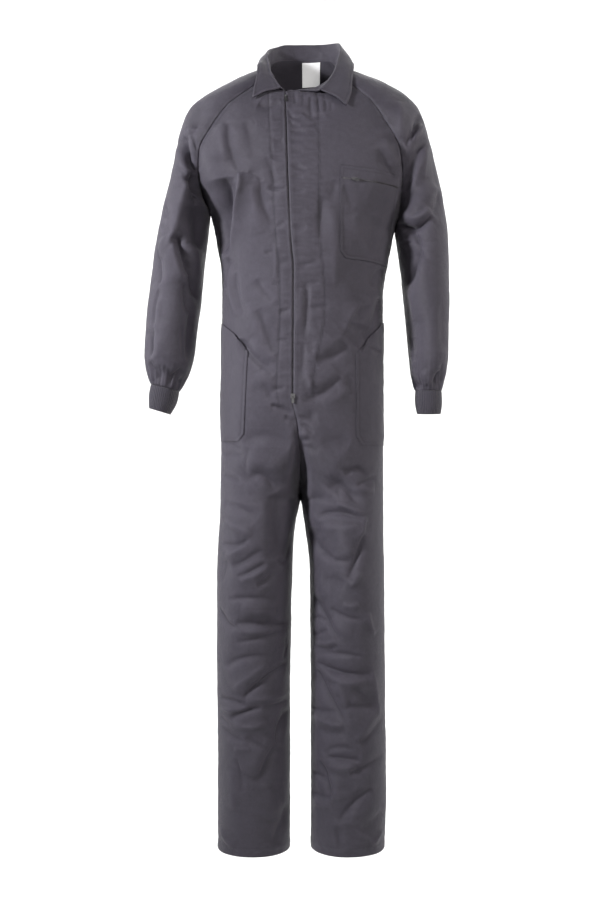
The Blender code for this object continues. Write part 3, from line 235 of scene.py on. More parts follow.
# Sleeve rows. From 0 to 1 a row crosses the shoulder from the front raglan seam over the top line
# to the back raglan seam. From 1 to 2 it is a ring round the arm, from the underarm seam.
SLEEVE_TOP = {
    RIGHT: Table("s x y z", [
        (0, -0.0745, 0.012, 0.008), (0.15, -0.118, 0.01, -0.011), (0.35, -0.172, 0.008, -0.04),
        (0.5, -0.207, 0.007, -0.0615), (0.6, -0.228, 0.006, -0.08), (0.7, -0.241, 0.006, -0.104),
        (0.8, -0.25, 0.006, -0.135), (0.9, -0.26, 0.005, -0.185), (1, -0.272, 0.005, -0.238),
        (1.12, -0.287, 0.004, -0.3), (1.25, -0.299, 0.002, -0.362),
        (1.45, -0.3115, -0.004, -0.455), (1.62, -0.318, -0.01, -0.525),
        (1.78, -0.32, -0.018, -0.585), (1.9, -0.3165, -0.022, -0.615),
        (2, -0.3065, -0.025, -0.6455)]),
    LEFT: Table("s x y z", [
        (0, 0.082, 0.012, 0.01), (0.15, 0.125, 0.01, -0.008), (0.35, 0.179, 0.008, -0.033),
        (0.5, 0.216, 0.007, -0.057), (0.6, 0.236, 0.006, -0.078), (0.7, 0.248, 0.006, -0.103),
        (0.8, 0.26, 0.006, -0.145), (0.9, 0.275, 0.005, -0.205), (1, 0.289, 0.005, -0.27),
        (1.12, 0.297, 0.004, -0.33), (1.25, 0.3, 0.002, -0.39), (1.45, 0.301, -0.004, -0.472),
        (1.62, 0.299, -0.01, -0.535), (1.78, 0.2965, -0.018, -0.588), (1.9, 0.2925, -0.022, -0.62),
        (2, 0.283, -0.025, -0.659)])}
UNDERARM = {
    RIGHT: Table("s x y z", [
        (1, -0.188, 0.005, -0.292), (1.12, -0.1935, 0.004, -0.345), (1.25, -0.199, 0.002, -0.395),
        (1.45, -0.2055, -0.004, -0.47), (1.62, -0.213, -0.01, -0.53),
        (1.78, -0.219, -0.018, -0.585), (1.9, -0.227, -0.022, -0.62), (2, -0.2487, -0.025, -0.66)]),
    LEFT: Table("s x y z", [
        (1, 0.19, 0.005, -0.332), (1.12, 0.1955, 0.004, -0.368), (1.25, 0.2015, 0.002, -0.41),
        (1.45, 0.2085, -0.004, -0.482), (1.62, 0.2135, -0.01, -0.538),
        (1.78, 0.217, -0.018, -0.589), (1.9, 0.22, -0.022, -0.621), (2, 0.2296, -0.025, -0.659)])}
# Handles of a sleeve row, for the wearer's left; x is mirrored for the right.
SLEEVE_SHAPE = Table("s front_x front_y front_z front_top back_x back_y back_z back_top", [
    (0, 0.003, 0.014, 0.008, 0.014, 0.008, -0.014, -0.006, 0.014),
    (0.15, 0.004, 0.012, 0.026, 0.03, 0.01, -0.008, 0.018, 0.03),
    (0.35, 0.012, 0.004, 0.034, 0.042, 0.014, 0.002, 0.028, 0.044),
    (0.5, 0.022, -0.004, 0.036, 0.048, 0.022, 0.008, 0.03, 0.05),
    (0.7, 0.03, -0.016, 0.028, 0.056, 0.03, 0.02, 0.026, 0.058),
    (0.8, 0.03, -0.034, 0.018, 0.065, 0.03, 0.038, 0.016, 0.068),
    (0.9, 0.022, -0.064, 0.006, 0.084, 0.022, 0.068, 0.006, 0.086),
    (1, 0, -0.116, 0, 0.116, 0, 0.118, 0, 0.118),
    *[(s, 0, -depth, 0, depth, 0, depth, 0, depth) for s, depth in (
        (1.25, 0.112), (1.45, 0.104), (1.62, 0.096), (1.78, 0.088), (1.9, 0.074), (2, 0.044))]])
print("pattern: neck to hem", round(HEM_DROP, 3), "m, neck to fork", round(CROTCH_DROP, 3), "m")


# %% [markdown]
# ## Rows of cloth, close together
# The tables are read at rows about 3.4 mm apart, which is fine enough for a crease to have a
# crest. Rows of neighbouring pieces end in the same seam points, so that the seams stay shut.

# %% Rows
def cubic(a, b, c, d, t):
    """Points on the cubic curve with the control points a, b, c and d."""
    t = np.asarray(t, float)[:, None]
    return a * (1 - t)**3 + 3 * b * t * (1 - t)**2 + 3 * c * t**2 * (1 - t) + d * t**3


def side_point(side, s, raglan):
    """Where a row meets the raglan seam, or the side seam below the underarm."""
    if s <= 1.0:
        return raglan[side].point("x y z", s)
    z = ROW_HEIGHT.at("right" if side == RIGHT else "left", s)
    return np.array([SIDE_WIDTH[side].at("x", z), SIDE_SEAM_DEPTH * min(1.0, 3.0 - s), z])


def body_curve(side, s, shape, raglan, centre_x, centre_z):
    """The four control points of a front or back row."""
    inner = np.array([centre_x, shape.at("y", s), centre_z])
    outer = side_point(side, s, raglan)
    width = outer[0] - inner[0]
    drop = (outer[2] - inner[2]) / 3
    inner_handle = np.array([shape.at("inner_x", s) * width, shape.at("inner_y", s),
                             shape.at("inner_z", s) + drop])
    outer_handle = np.array([-shape.at("outer_x", s) * width, shape.at("outer_y", s),
                             shape.at("outer_z", s) - drop])
    return inner, inner + inner_handle, outer + outer_handle, outer


def front_row(side, s, shares):
    """A front from its centre edge or inseam out to its side edge."""
    z = ROW_HEIGHT.at("front", s)
    if s > 2.0:
        x = INNER_LEG[side].at("x", z)
    else:
        open_share = min(max((z - ZIP_BOTTOM) / (8 * MM), 0.0), 1.0)
        open_share *= 1 - 0.55 * math.exp(-((z - ZIP_PINCH) / 0.035)**2)
        x = ZIP_LINE.at("x", z) + side * open_share * ZIP_OPENING / 2
    return cubic(*body_curve(side, s, FRONT[side], RAGLAN_FRONT, x, z), shares)


def back_row(side, s, shares):
    """A back from the centre back, seat seam or inseam out to its side edge."""
    z = ROW_HEIGHT.at("back", s)
    if s > 2.0:
        x = INNER_LEG[side].at("x", z)
    else:
        x = -0.003 * min(max((s - 1.25) / 0.75, 0.0), 1.0)
    return cubic(*body_curve(side, s, BACK, RAGLAN_BACK, x, z), shares)


def sleeve_row(side, s, shares):
    """A sleeve from its front edge over the top line to its back edge."""
    top = SLEEVE_TOP[side].point("x y z", s)
    front = RAGLAN_FRONT[side].point("x y z", s) if s <= 1 else UNDERARM[side].point("x y z", s)
    back = RAGLAN_BACK[side].point("x y z", s) if s <= 1 else front
    mirror = np.array([side, 1, 1])
    front_handle = SLEEVE_SHAPE.point("front_x front_y front_z", s) * mirror
    back_handle = SLEEVE_SHAPE.point("back_x back_y back_z", s) * mirror
    ahead = np.array([0, -SLEEVE_SHAPE.at("front_top", s), 0])
    behind = np.array([0, SLEEVE_SHAPE.at("back_top", s), 0])
    half = len(shares) // 2 + 1
    before = cubic(front, front + front_handle, top + ahead, top, 2 * shares[:half])
    after = cubic(top, top + behind, back + back_handle, back, 2 * shares[half:] - 1)
    return np.concatenate([before, after])


def lengths(points):
    """How far along a line of points each of them lies, from the first one."""
    return np.concatenate([[0], np.cumsum(np.linalg.norm(np.diff(points, axis=0), axis=1))])


def even_rows(first, last, step, guide):
    """Values of s from first to last, about a step apart along a guide line."""
    tries = np.linspace(first, last, 160)
    reached = lengths(np.array([guide(s) for s in tries]))
    count = max(2, round(reached[-1] / step))
    return np.interp(np.linspace(0, reached[-1], count + 1), reached, tries)


FINE = 3.4 * MM             # between two rows of cloth
FRONT_POINTS, BACK_POINTS, SLEEVE_POINTS = 83, 39, 101    # in one row of each
body_guide = lambda s: front_row(RIGHT, s, [0.5])[0]
arm_guide = lambda s: SLEEVE_TOP[RIGHT].point("x y z", s)
shoulder_rows = even_rows(0.0, 1.0, FINE, arm_guide)
body_rows = even_rows(1.0, 1.25, FINE, body_guide)
hip_rows = even_rows(1.25, 2.0, FINE, body_guide)
leg_rows = even_rows(2.0, 3.0, FINE, body_guide)
arm_rows = even_rows(1.0, 2.0, FINE, arm_guide)
print("rows:", len(shoulder_rows), len(body_rows), len(hip_rows), len(leg_rows), len(arm_rows))

# %% Grids of the seven cut pieces
rows_of = {
    "front": np.concatenate([shoulder_rows, body_rows[1:], hip_rows[1:], leg_rows[1:]]),
    "back_lower": np.concatenate([hip_rows, leg_rows[1:]]),
    "back_upper": np.concatenate([shoulder_rows, body_rows[1:]]),
    "sleeve": np.concatenate([shoulder_rows, arm_rows[1:]])}
front_shares = np.linspace(0, 1, FRONT_POINTS)
back_shares = np.linspace(0, 1, BACK_POINTS)
sleeve_shares = np.linspace(0, 1, SLEEVE_POINTS)
grids = {}
for side, name in ((RIGHT, "right"), (LEFT, "left")):
    grids["front_" + name] = np.array([front_row(side, s, front_shares) for s in rows_of["front"]])
    grids["back_lower_" + name] = np.array([back_row(side, s, back_shares)
                                            for s in rows_of["back_lower"]])
    grids["sleeve_" + name] = np.array([sleeve_row(side, s, sleeve_shares)
                                        for s in rows_of["sleeve"]])
right_half = np.array([back_row(RIGHT, s, back_shares[::-1]) for s in rows_of["back_upper"]])
left_half = np.array([back_row(LEFT, s, back_shares[1:]) for s in rows_of["back_upper"]])
grids["back_upper"] = np.concatenate([right_half, left_half], axis=1)


def eased(grid, row, span, turns):
    """Smooths a grid along its columns near one row, but leaves its edges where they are."""
    rows, columns = np.indices(grid.shape[:2])
    inward = np.minimum(columns, grid.shape[1] - 1 - columns) / 10
    mask = (np.exp(-((rows - row) / span)**2) * np.clip(inward, 0, 1))[1:-1, :, None]
    for _ in range(turns):
        grid[1:-1] += 0.5 * mask * ((grid[:-2] + grid[2:]) / 2 - grid[1:-1])


def fork_crease(grid):
    """Draws the middle of a front back above the fork, where the two legs close on each other."""
    heights = [-0.882, -0.877, -0.868, -0.845, -0.825, -0.800, -0.765, -0.735, -0.700]
    depths = [0, 30, 46, 46, 38, 26, 12, 5, 0]
    step = np.linalg.norm(np.diff(grid, axis=1), axis=2)
    reached = np.concatenate([np.zeros((len(grid), 1)), np.cumsum(step, axis=1)], axis=1)
    centre = grid[:, :1, 2]
    width = np.interp(centre, [-0.87, -0.74], [19 * MM, 7 * MM])
    grid[..., 1] += np.interp(centre, heights, depths) * MM * np.exp(-(reached / width)**2)


for name, grid in grids.items():
    if name.startswith("front") or name == "back_upper":
        eased(grid, len(shoulder_rows) - 1, 22, 160)
    if name.startswith("front"):
        fork_crease(grid)
    print(name, grid.shape[0], "rows of", grid.shape[1])


# %% [markdown]
# ## Which way is out
# A fold lifts the cloth straight out of its own surface, so every point needs to know which way
# that is. Two pieces that share a seam point share its direction too, or the seam would gape.

# %% Normals
RIM = (np.s_[0, :], np.s_[-1, :], np.s_[:, 0], np.s_[:, -1])    # the four edges of a grid


def inside_of(name, grid):
    """A point inside a piece: a sleeve is a tube of its own, the others hang round the body."""
    centre = grid.reshape(-1, 3).mean(axis=0)
    return centre if name.startswith("sleeve") else centre * (0.5, 0, 1)


def grid_normals(grid, centre):
    """Area-weighted normals of a grid's points, turned away from a point inside the piece."""
    across = np.diff(grid, axis=1)
    down = np.diff(grid, axis=0)
    cell = (np.cross(across[:-1], down[:, :-1]) + np.cross(across[1:], down[:, 1:])) / 2
    normals = np.zeros_like(grid)
    for i in (0, 1):
        for j in (0, 1):
            normals[i:grid.shape[0] - 1 + i, j:grid.shape[1] - 1 + j] += cell
    return -normals if np.sum(normals * (grid - centre)) < 0 else normals


def shared_normals(grids):
    """Normals of all grids; pieces that share a seam point share its normal."""
    normals, totals = {}, {}
    for name, grid in grids.items():
        normals[name] = grid_normals(grid, inside_of(name, grid))
        rim = np.zeros(grid.shape[:2], bool)
        rim[0], rim[-1], rim[:, 0], rim[:, -1] = True, True, True, True
        for point, normal in zip(np.round(grid[rim], 6), normals[name][rim]):
            totals[tuple(point)] = totals.get(tuple(point), 0) + normal
    for name, grid in grids.items():
        for edge in RIM:
            normals[name][edge] = [totals[tuple(point)] for point in np.round(grid[edge], 6)]
        normals[name] /= np.linalg.norm(normals[name], axis=2)[..., None]
    return normals


normals = shared_normals(grids)
print("normals of", len(normals), "pieces")


# %% [markdown]
# ## Folds
# Cloth that was folded, sat in and hung up again keeps long soft ridges from the shoulder, a fan
# behind the knee, and crosswise creases over the shin. Each is a line through three points, all
# in millimetres. A softness of 0.15 makes a crease with a sharp crest and 1 a soft swell, and a
# lean puts the steep flank on one side. Each fold dies out towards its ends, and no two are
# alike, because rows of equal ripples look moulded.

# %% Fold tables
# three points as x and z in mm, then width, height, softness and lean; a fold that doesn't say its
# softness or lean has the ones below
SHARP, UPRIGHT = 0.15, 0
FRONT_FOLDS = [
    (-241, -150, -229, -192, -209, -224, 7, -13),
    (-249, -162, -239, -200, -221, -238, 10, 6.5, 0.46),
    (-223, -228, -215, -258, -211, -290, 7, -9.1),
    (-225, -244, -241, -302, -257, -362, 13, 7.15, 0.33, -0.5),
    (-213, -284, -207, -330, -205, -378, 13, -7.8, 0.72),
    (-257, -356, -241, -378, -225, -430, 9, -11.7, 0.15, 0.2),
    (-227, -402, -217, -446, -207, -484, 7, -8.45, 0.19),
    (-219, -366, -209, -402, -203, -438, 9, 3.9, 0.46),
    (-263, -348, -251, -390, -237, -442, 12, 5.2, 0.46, -0.4),
    (-231, -444, -231, -474, -225, -506, 7, -7.15, 0.19),
    (-285, -376, -290, -414, -283, -450, 6, -6),
    (-285, -456, -299, -502, -297, -540, 7, -5.5, 0.19, 0.3),
    (-295, -534, -301, -562, -301, -594, 6, -6.5, 0.19),
    (-289, -470, -287, -534, -287, -594, 9, 3.9, 0.58),
    (-223, -498, -223, -548, -229, -599, 8, -5.85, 0.46),
    (-237, -530, -236, -564, -237, -599, 3, -2.08),
    (-273, -282, -269, -302, -261, -322, 5, -3.25, 0.19),
    (-281, -322, -273, -336, -257, -342, 5, -2.34, 0.33),
    (-209, -79, -209, -113, -213, -141, 15, -4.55, 0.98),
    (-223, -150, -213, -168, -209, -186, 3.5, -2.86),
    (-237, -615, -251, -631, -269, -643, 6, -6.5, 0.19),
    (-291, -611, -277, -627, -259, -619, 11, -3.9, 0.72),
    (-305, -603, -295, -621, -285, -643, 6, -3.9, 0.33),
    (-243, -143, -225, -150, -207, -133, 7, -3, 0.33), (-279, -290, -275, -306, -267, -318, 4, -3),
    (-285, -390, -287, -414, -285, -448, 5, -3), (-273, -354, -279, -378, -283, -402, 5, 3, 0.19),
    (-279, -478, -285, -522, -285, -568, 6, -2, 0.33),
    (-305, -538, -303, -568, -305, -590, 5, -2, 0.19),
    (-219, -619, -233, -635, -249, -645, 5, -4, 0.19), (240, -103, 228, -133, 216, -162, 6, -9.38),
    (246, -121, 234, -141, 222, -164, 6, 5, 0.33),
    (248, -150, 226, -198, 204, -262, 11, -7.5, 0.39),
    (256, -156, 236, -204, 218, -266, 10, 6.25, 0.33, 0.35),
    (214, -141, 212, -158, 206, -176, 4, -3.75), (196, -83, 195, -125, 196, -162, 11, 4.38, 0.58),
    (190, -318, 222, -338, 258, -312, 7, -11.2, 0.15, -0.2),
    (258, -312, 273, -290, 275, -258, 8, -5, 0.33),
    (200, -300, 226, -318, 254, -296, 9, 4.38, 0.46),
    (208, -346, 232, -346, 263, -328, 9, 3.75, 0.58),
    (202, -336, 222, -356, 236, -384, 8, -9.38, 0.17),
    (236, -380, 222, -406, 206, -460, 9, -8.75, 0.22),
    (202, -358, 204, -402, 204, -450, 12, -6.25, 0.72),
    (244, -398, 228, -450, 222, -522, 12, 5, 0.58, 0.3),
    (210, -474, 214, -528, 218, -584, 7, -5, 0.46), (218, -554, 220, -576, 224, -601, 4, -3.12),
    (218, -625, 224, -643, 236, -657, 6, -9.38), (279, -621, 271, -637, 265, -653, 6, -9.38),
    (224, -652, 246, -657, 269, -655, 4, -3.75), (277, -605, 283, -629, 281, -649, 4, -3.75),
    (238, -623, 250, -637, 256, -647, 8, 3.12, 0.46),
    (260, -176, 269, -218, 273, -254, 9, -3.25, 0.72),
    (244, -178, 244, -210, 244, -238, 6, 2, 0.46), (279, -478, 281, -538, 279, -582, 9, -2.5, 0.72),
    (-146, -132, -141, -187, -121, -236, 9, -4.5, 0.46, 0.2),
    (-158, -134, -157, -172, -148, -210, 11, 3.2, 0.72),
    (-121, -238, -128, -294, -144, -391, 9, 8.5, 0.15, 0.5),
    (-150, -246, -152, -310, -163, -387, 12, -16, 0.58),
    (-125, -238, -119, -258, -124, -280, 4, 3.2), (-105, -236, -90, -244, -78, -256, 6, -2.1, 0.33),
    (-80, -256, -76, -302, -53, -344, 9, -4.5, 0.33, 0.2),
    (-97, -262, -91, -306, -78, -356, 12, 3.2, 0.72),
    (-70, -207, -57, -240, -51, -278, 5, -1.9, 0.26), (-66, -266, -53, -272, -33, -272, 3, -2.7),
    (-61, -207, -49, -210, -35, -212, 3, -2.3), (-59, -172, -47, -174, -37, -172, 3, -1.6),
    (-53, -344, -41, -340, -33, -333, 3, -2.1), (-72, -398, -64, -394, -55, -396, 3, -1.87),
    (-58, -456, -49, -456, -35, -455, 3, -1.36),
    (-112, -129, -102, -172, -98, -214, 10, -1.9, 0.72),
    (-87, -94, -67, -98, -42, -91, 7, -3.7, 0.33), (-53, -371, -51, -414, -53, -449, 5, 1.7, 0.33),
    (-144, -406, -144, -456, -128, -515, 7, 4.5, 0.26, 0.2),
    (-130, -426, -130, -468, -115, -511, 5, -4), (-150, -394, -152, -426, -154, -456, 6, -4, 0.33),
    (-90, -445, -76, -468, -57, -488, 7, -3, 0.33),
    (-86, -503, -70, -546, -53, -592, 9, -3.5, 0.46),
    (-105, -488, -90, -530, -66, -569, 10, 2.5, 0.72), (-45, -508, -35, -509, -26, -507, 3, -3),
    (-47, -563, -37, -565, -28, -563, 3, -1.6),
    (-121, -559, -98, -596, -55, -629, 8, -6.5, 0.19, 0.35),
    (-101, -561, -78, -584, -49, -596, 12, 3, 0.72),
    (-78, -650, -66, -668, -59, -685, 6, -2.2, 0.33), (-61, -691, -41, -697, -18, -709, 4, -4.5),
    (-59, -664, -47, -660, -35, -658, 3, -2), (-86, -623, -74, -639, -53, -654, 9, 2.5, 0.58),
    (-28, -105, -18, -123, 4, -123, 4, -2.6), (-24, -127, -18, -140, -6, -142, 3.5, -2.1),
    (-22, -153, -10, -156, 6, -156, 3.5, -2.6), (-22, -176, -10, -174, 4, -178, 3, -1.8),
    (-20, -195, -10, -197, 0, -195, 3, -1.6), (-22, -226, -8, -228, 8, -238, 3.5, -2.4),
    (-20, -246, -10, -248, 0, -246, 3, -1.5), (-20, -272, -10, -276, 4, -274, 3, -1.8),
    (-18, -311, -6, -315, 6, -311, 3, -1.6), (-18, -346, -6, -348, 8, -346, 3, -2.1),
    (-16, -377, -6, -375, 6, -379, 3, -2.1), (-8, -422, 10, -418, 31, -410, 3.5, -2.21),
    (-4, -451, 13, -455, 33, -451, 3, -1.56), (17, -499, 35, -500, 52, -497, 3, -1.95),
    (21, -482, 35, -484, 48, -482, 3, -1.17), (6, -455, 10, -488, 4, -569, 5, -2.93),
    (2, -569, 2, -600, 0, -639, 5, -1.95, 0.19), (-4, -464, -4, -497, -8, -546, 6, 1.62, 0.33),
    (-16, -65, -14, -80, -12, -96, 3.5, -2.1), (0, -72, 2, -84, 0, -98, 3.5, -1.8),
    (18, -77, 16, -94, 20, -134, 4, -2.8), (32, -77, 32, -94, 35, -112, 3.5, -2.3),
    (46, -84, 47, -98, 45, -114, 3.5, -2.1), (55, -89, 57, -101, 55, -112, 3.5, -1.6),
    (2, -112, 22, -123, 43, -120, 5, -3.2, 0.19), (25, -132, 29, -145, 33, -158, 4, -1.6, 0.19),
    (62, -252, 62, -272, 52, -296, 7, -2, 0.46), (42, -282, 37, -321, 37, -371, 7, -3, 0.33),
    (60, -306, 62, -371, 62, -460, 10, 3.5, 0.58),
    (152, -185, 166, -216, 189, -240, 9, -4.5, 0.33, 0.2),
    (158, -166, 174, -193, 189, -216, 9, 2.4, 0.58),
    (192, -210, 198, -234, 196, -270, 6, 2.4, 0.33), (83, -262, 89, -284, 97, -306, 5, -1.8, 0.33),
    (97, -317, 114, -364, 138, -414, 11, 2.5, 0.72),
    (149, -317, 140, -356, 147, -391, 11, -2.5, 0.72),
    (120, -488, 95, -515, 84, -553, 9, 3.82, 0.19, -0.5),
    (107, -503, 118, -503, 136, -491, 5, -3.4), (120, -530, 113, -549, 97, -569, 14, -3.4, 0.72),
    (167, -418, 151, -426, 136, -453, 8, -3.4, 0.33),
    (155, -472, 146, -518, 122, -565, 9, -4.67, 0.33),
    (144, -472, 132, -507, 109, -542, 9, 1.7, 0.58),
    (89, -573, 60, -596, 27, -606, 11, -3.91, 0.33, -0.3),
    (83, -549, 54, -573, 19, -584, 13, 2.55, 0.72),
    (76, -635, 43, -666, 0, -683, 8, -3.91, 0.22, -0.3),
    (66, -619, 39, -643, 8, -654, 13, 2.21, 0.72), (90, -652, 70, -674, 39, -689, 8, 2.12, 0.58),
    (86, -631, 93, -646, 95, -670, 5, -1.53, 0.33), (4, -623, 13, -639, 17, -662, 5, 2.55, 0.19),
    (134, -571, 146, -577, 159, -582, 3.5, -2.21), (132, -557, 124, -573, 115, -584, 4, -2.12),
    (-8, -713, 8, -718, 25, -718, 5, -2.72, 0.19, 0.2),
    (-4, -742, 4, -748, 14, -744, 5, 2.08, 0.26), (-4, -756, 6, -759, 16, -756, 4, -1.92),
    (-4, -771, 10, -773, 31, -783, 5, -1.6, 0.26), (-4, -730, 8, -734, 21, -746, 4, -2.08),
    (14, -701, 21, -713, 27, -732, 6, -1.6, 0.33), (-35, -713, -24, -720, -12, -728, 5, -2.4, 0.19),
    (-116, -765, -74, -752, -24, -771, 15, -5, 0.58, 0.2),
    (-110, -802, -79, -806, -36, -810, 17, 4, 0.84),
    (-110, -844, -82, -828, -51, -861, 13, -6, 0.33, 0.2),
    (-55, -865, -47, -936, -45, -995, 13, -5, 0.58),
    (-79, -877, -73, -936, -75, -987, 15, 2.5, 0.84), (-22, -948, -24, -979, -32, -999, 4, -3.6),
    (-45, -993, -40, -1003, -30, -1001, 4, -3.6), (-157, -830, -139, -834, -120, -840, 4, -2.6),
    (-159, -759, -141, -769, -120, -777, 7, -2.4, 0.33),
    (-157, -791, -137, -785, -116, -793, 7, -2, 0.33),
    (-157, -883, -126, -891, -88, -912, 9, -4, 0.33),
    (-153, -918, -126, -932, -98, -944, 7, 3.5, 0.26),
    (-159, -966, -130, -967, -104, -954, 5, -4.6, 0.15, 0.2),
    (-153, -991, -130, -979, -108, -967, 6, 2.6, 0.33),
    (-140, -1007, -110, -995, -77, -973, 8, -4, 0.33), (-128, -1027, -100, -1017, -71, -999, 4, -4),
    (-122, -1035, -94, -1025, -63, -1007, 5, 2.6, 0.19),
    (-89, -1046, -71, -1035, -53, -1019, 4.5, -3.6),
    (-159, -1040, -153, -1015, -149, -995, 6, -2.4, 0.33),
    (39, -771, 66, -761, 94, -763, 11, -3, 0.72), (51, -834, 66, -802, 86, -775, 13, 2.5, 0.72),
    (84, -830, 106, -816, 131, -830, 8, -4.5, 0.19), (108, -852, 125, -840, 149, -834, 4.5, -2.8),
    (98, -856, 121, -857, 145, -859, 6, 2.4, 0.33), (53, -859, 82, -852, 121, -899, 13, -6, 0.26),
    (66, -885, 94, -893, 121, -906, 5, 3.4, 0.19),
    (31, -914, 66, -902, 119, -916, 6, -6, 0.15, 0.3),
    (37, -930, 74, -932, 112, -928, 9, 3.6, 0.46), (19, -932, 27, -967, 63, -991, 9, -5, 0.33),
    (35, -983, 67, -995, 98, -995, 4.5, -3.4), (66, -940, 84, -963, 94, -987, 12, 2.6, 0.72),
    (121, -944, 110, -985, 90, -1033, 7, -6, 0.19, -0.3),
    (123, -908, 120, -932, 108, -971, 8, 3.4, 0.33, -0.4),
    (92, -1046, 106, -1035, 114, -1015, 6, 3, 0.33),
    (39, -1035, 63, -1036, 84, -1042, 10, -3, 0.58), (12, -818, 19, -877, 23, -926, 8, 2.4, 0.58),
    (-146, -1074, -102, -1070, -49, -1074, 6, -3.4, 0.19, 0.2),
    (-164, -1092, -150, -1120, -128, -1128, 4, -4.6),
    (-132, -1121, -79, -1124, -24, -1130, 8, -7, 0.15, 0.4),
    (-122, -1090, -87, -1096, -51, -1102, 10, 3, 0.58),
    (-130, -1158, -87, -1150, -30, -1140, 6, -3.6, 0.19, 0.2),
    (-126, -1134, -91, -1138, -55, -1136, 6, 3, 0.33),
    (-32, -1154, -30, -1174, -36, -1198, 4, -2.6),
    (-150, -1212, -122, -1190, -63, -1186, 7, -3.6, 0.26),
    (-117, -1269, -79, -1235, -28, -1208, 6, -6.5, 0.15, -0.2),
    (-136, -1255, -105, -1227, -67, -1202, 9, 4, 0.33),
    (-111, -1275, -71, -1271, -24, -1271, 6, 3.4, 0.33),
    (-164, -1275, -138, -1277, -111, -1283, 4.5, -4, 0.15, 0.2),
    (-162, -1297, -135, -1295, -105, -1289, 6, 4, 0.19),
    (-142, -1313, -115, -1297, -79, -1289, 4.5, -5.5),
    (-79, -1289, -52, -1287, -22, -1283, 4.5, -3.4),
    (-137, -1321, -103, -1327, -69, -1317, 6, 3.4, 0.33),
    (-164, -1313, -154, -1321, -143, -1329, 5, -2.4, 0.19),
    (-22, -1301, -40, -1331, -50, -1367, 8, -6.5, 0.19),
    (-50, -1367, -71, -1399, -87, -1441, 9, -6, 0.26),
    (-65, -1349, -87, -1385, -105, -1425, 13, 3, 0.72),
    (-160, -1333, -141, -1347, -115, -1355, 6, -3.6, 0.19, 0.2),
    (-115, -1347, -91, -1361, -66, -1371, 6, -3.6, 0.19, 0.2),
    (-135, -1369, -121, -1371, -105, -1367, 4, 2, 0.19),
    (-133, -1389, -123, -1421, -123, -1457, 5, -2.4, 0.19),
    (-141, -1413, -139, -1457, -139, -1497, 8, 2, 0.58),
    (-26, -1493, -42, -1533, -58, -1569, 12, -4.5, 0.58),
    (-165, -1541, -153, -1559, -135, -1571, 5, 3, 0.19),
    (-68, -1453, -64, -1485, -68, -1517, 10, 2, 0.72),
    (23, -1070, 41, -1106, 73, -1150, 7, -5.5, 0.17, 0.2),
    (53, -1090, 84, -1106, 122, -1112, 5, -3.6, 0.15, 0.2),
    (80, -1080, 96, -1086, 112, -1080, 5, 2.4, 0.19),
    (57, -1110, 75, -1130, 98, -1142, 9, 2.6, 0.58), (20, -1118, 33, -1114, 49, -1120, 3.5, -2.6),
    (22, -1150, 35, -1144, 51, -1134, 3.5, -3), (29, -1162, 47, -1164, 67, -1154, 4, 3.4),
    (24, -1172, 47, -1174, 71, -1164, 4, -2.4),
    (31, -1184, 75, -1182, 122, -1186, 5, -3.6, 0.15, 0.3),
    (30, -1204, 71, -1220, 140, -1225, 8, -8, 0.15, 0.35),
    (45, -1223, 87, -1237, 128, -1233, 7, 3.8, 0.33),
    (28, -1216, 47, -1257, 87, -1317, 7, -6, 0.17, -0.2),
    (69, -1239, 81, -1263, 91, -1285, 7, 3.4, 0.33, -0.3),
    (95, -1249, 122, -1269, 148, -1297, 12, -4, 0.46),
    (85, -1283, 114, -1287, 150, -1285, 7, -3, 0.26),
    (138, -1218, 148, -1257, 154, -1317, 6, 2.6, 0.33),
    (130, -1098, 134, -1122, 144, -1146, 5, 3, 0.19),
    (20, -1299, 41, -1301, 69, -1295, 7, -3.6, 0.26),
    (20, -1317, 47, -1321, 79, -1325, 6, 3.6, 0.33),
    (32, -1335, 55, -1341, 87, -1337, 8, -2.6, 0.46),
    (45, -1387, 65, -1369, 103, -1369, 6, -2.6, 0.26),
    (47, -1391, 79, -1393, 117, -1395, 6, -6, 0.15, 0.4),
    (53, -1405, 81, -1409, 109, -1405, 6, 3.6, 0.33),
    (34, -1401, 49, -1433, 57, -1471, 6, -5, 0.17, -0.2),
    (63, -1423, 69, -1453, 73, -1473, 9, 3, 0.58),
    (18, -1433, 32, -1435, 49, -1439, 6, -4.6, 0.17, 0.4),
    (20, -1473, 38, -1473, 59, -1471, 6, -3.4, 0.19, 0.3),
    (22, -1487, 40, -1489, 59, -1485, 6, 2.6, 0.33),
    (93, -1419, 119, -1411, 166, -1391, 7, -3.8, 0.26, 0.2),
    (141, -1453, 103, -1479, 73, -1519, 9, -5.5, 0.22, -0.2),
    (95, -1497, 99, -1509, 99, -1525, 8, 2.4, 0.46),
    (115, -1363, 134, -1347, 162, -1313, 7, -2.6, 0.46),
    (107, -1353, 122, -1337, 150, -1305, 7, 2, 0.46),
    (119, -1541, 135, -1525, 166, -1505, 10, -2.6, 0.58),
    (71, -1525, 71, -1545, 75, -1573, 7, -2.4, 0.33),
    (163, -1545, 153, -1557, 139, -1569, 5, 2.4, 0.33)]
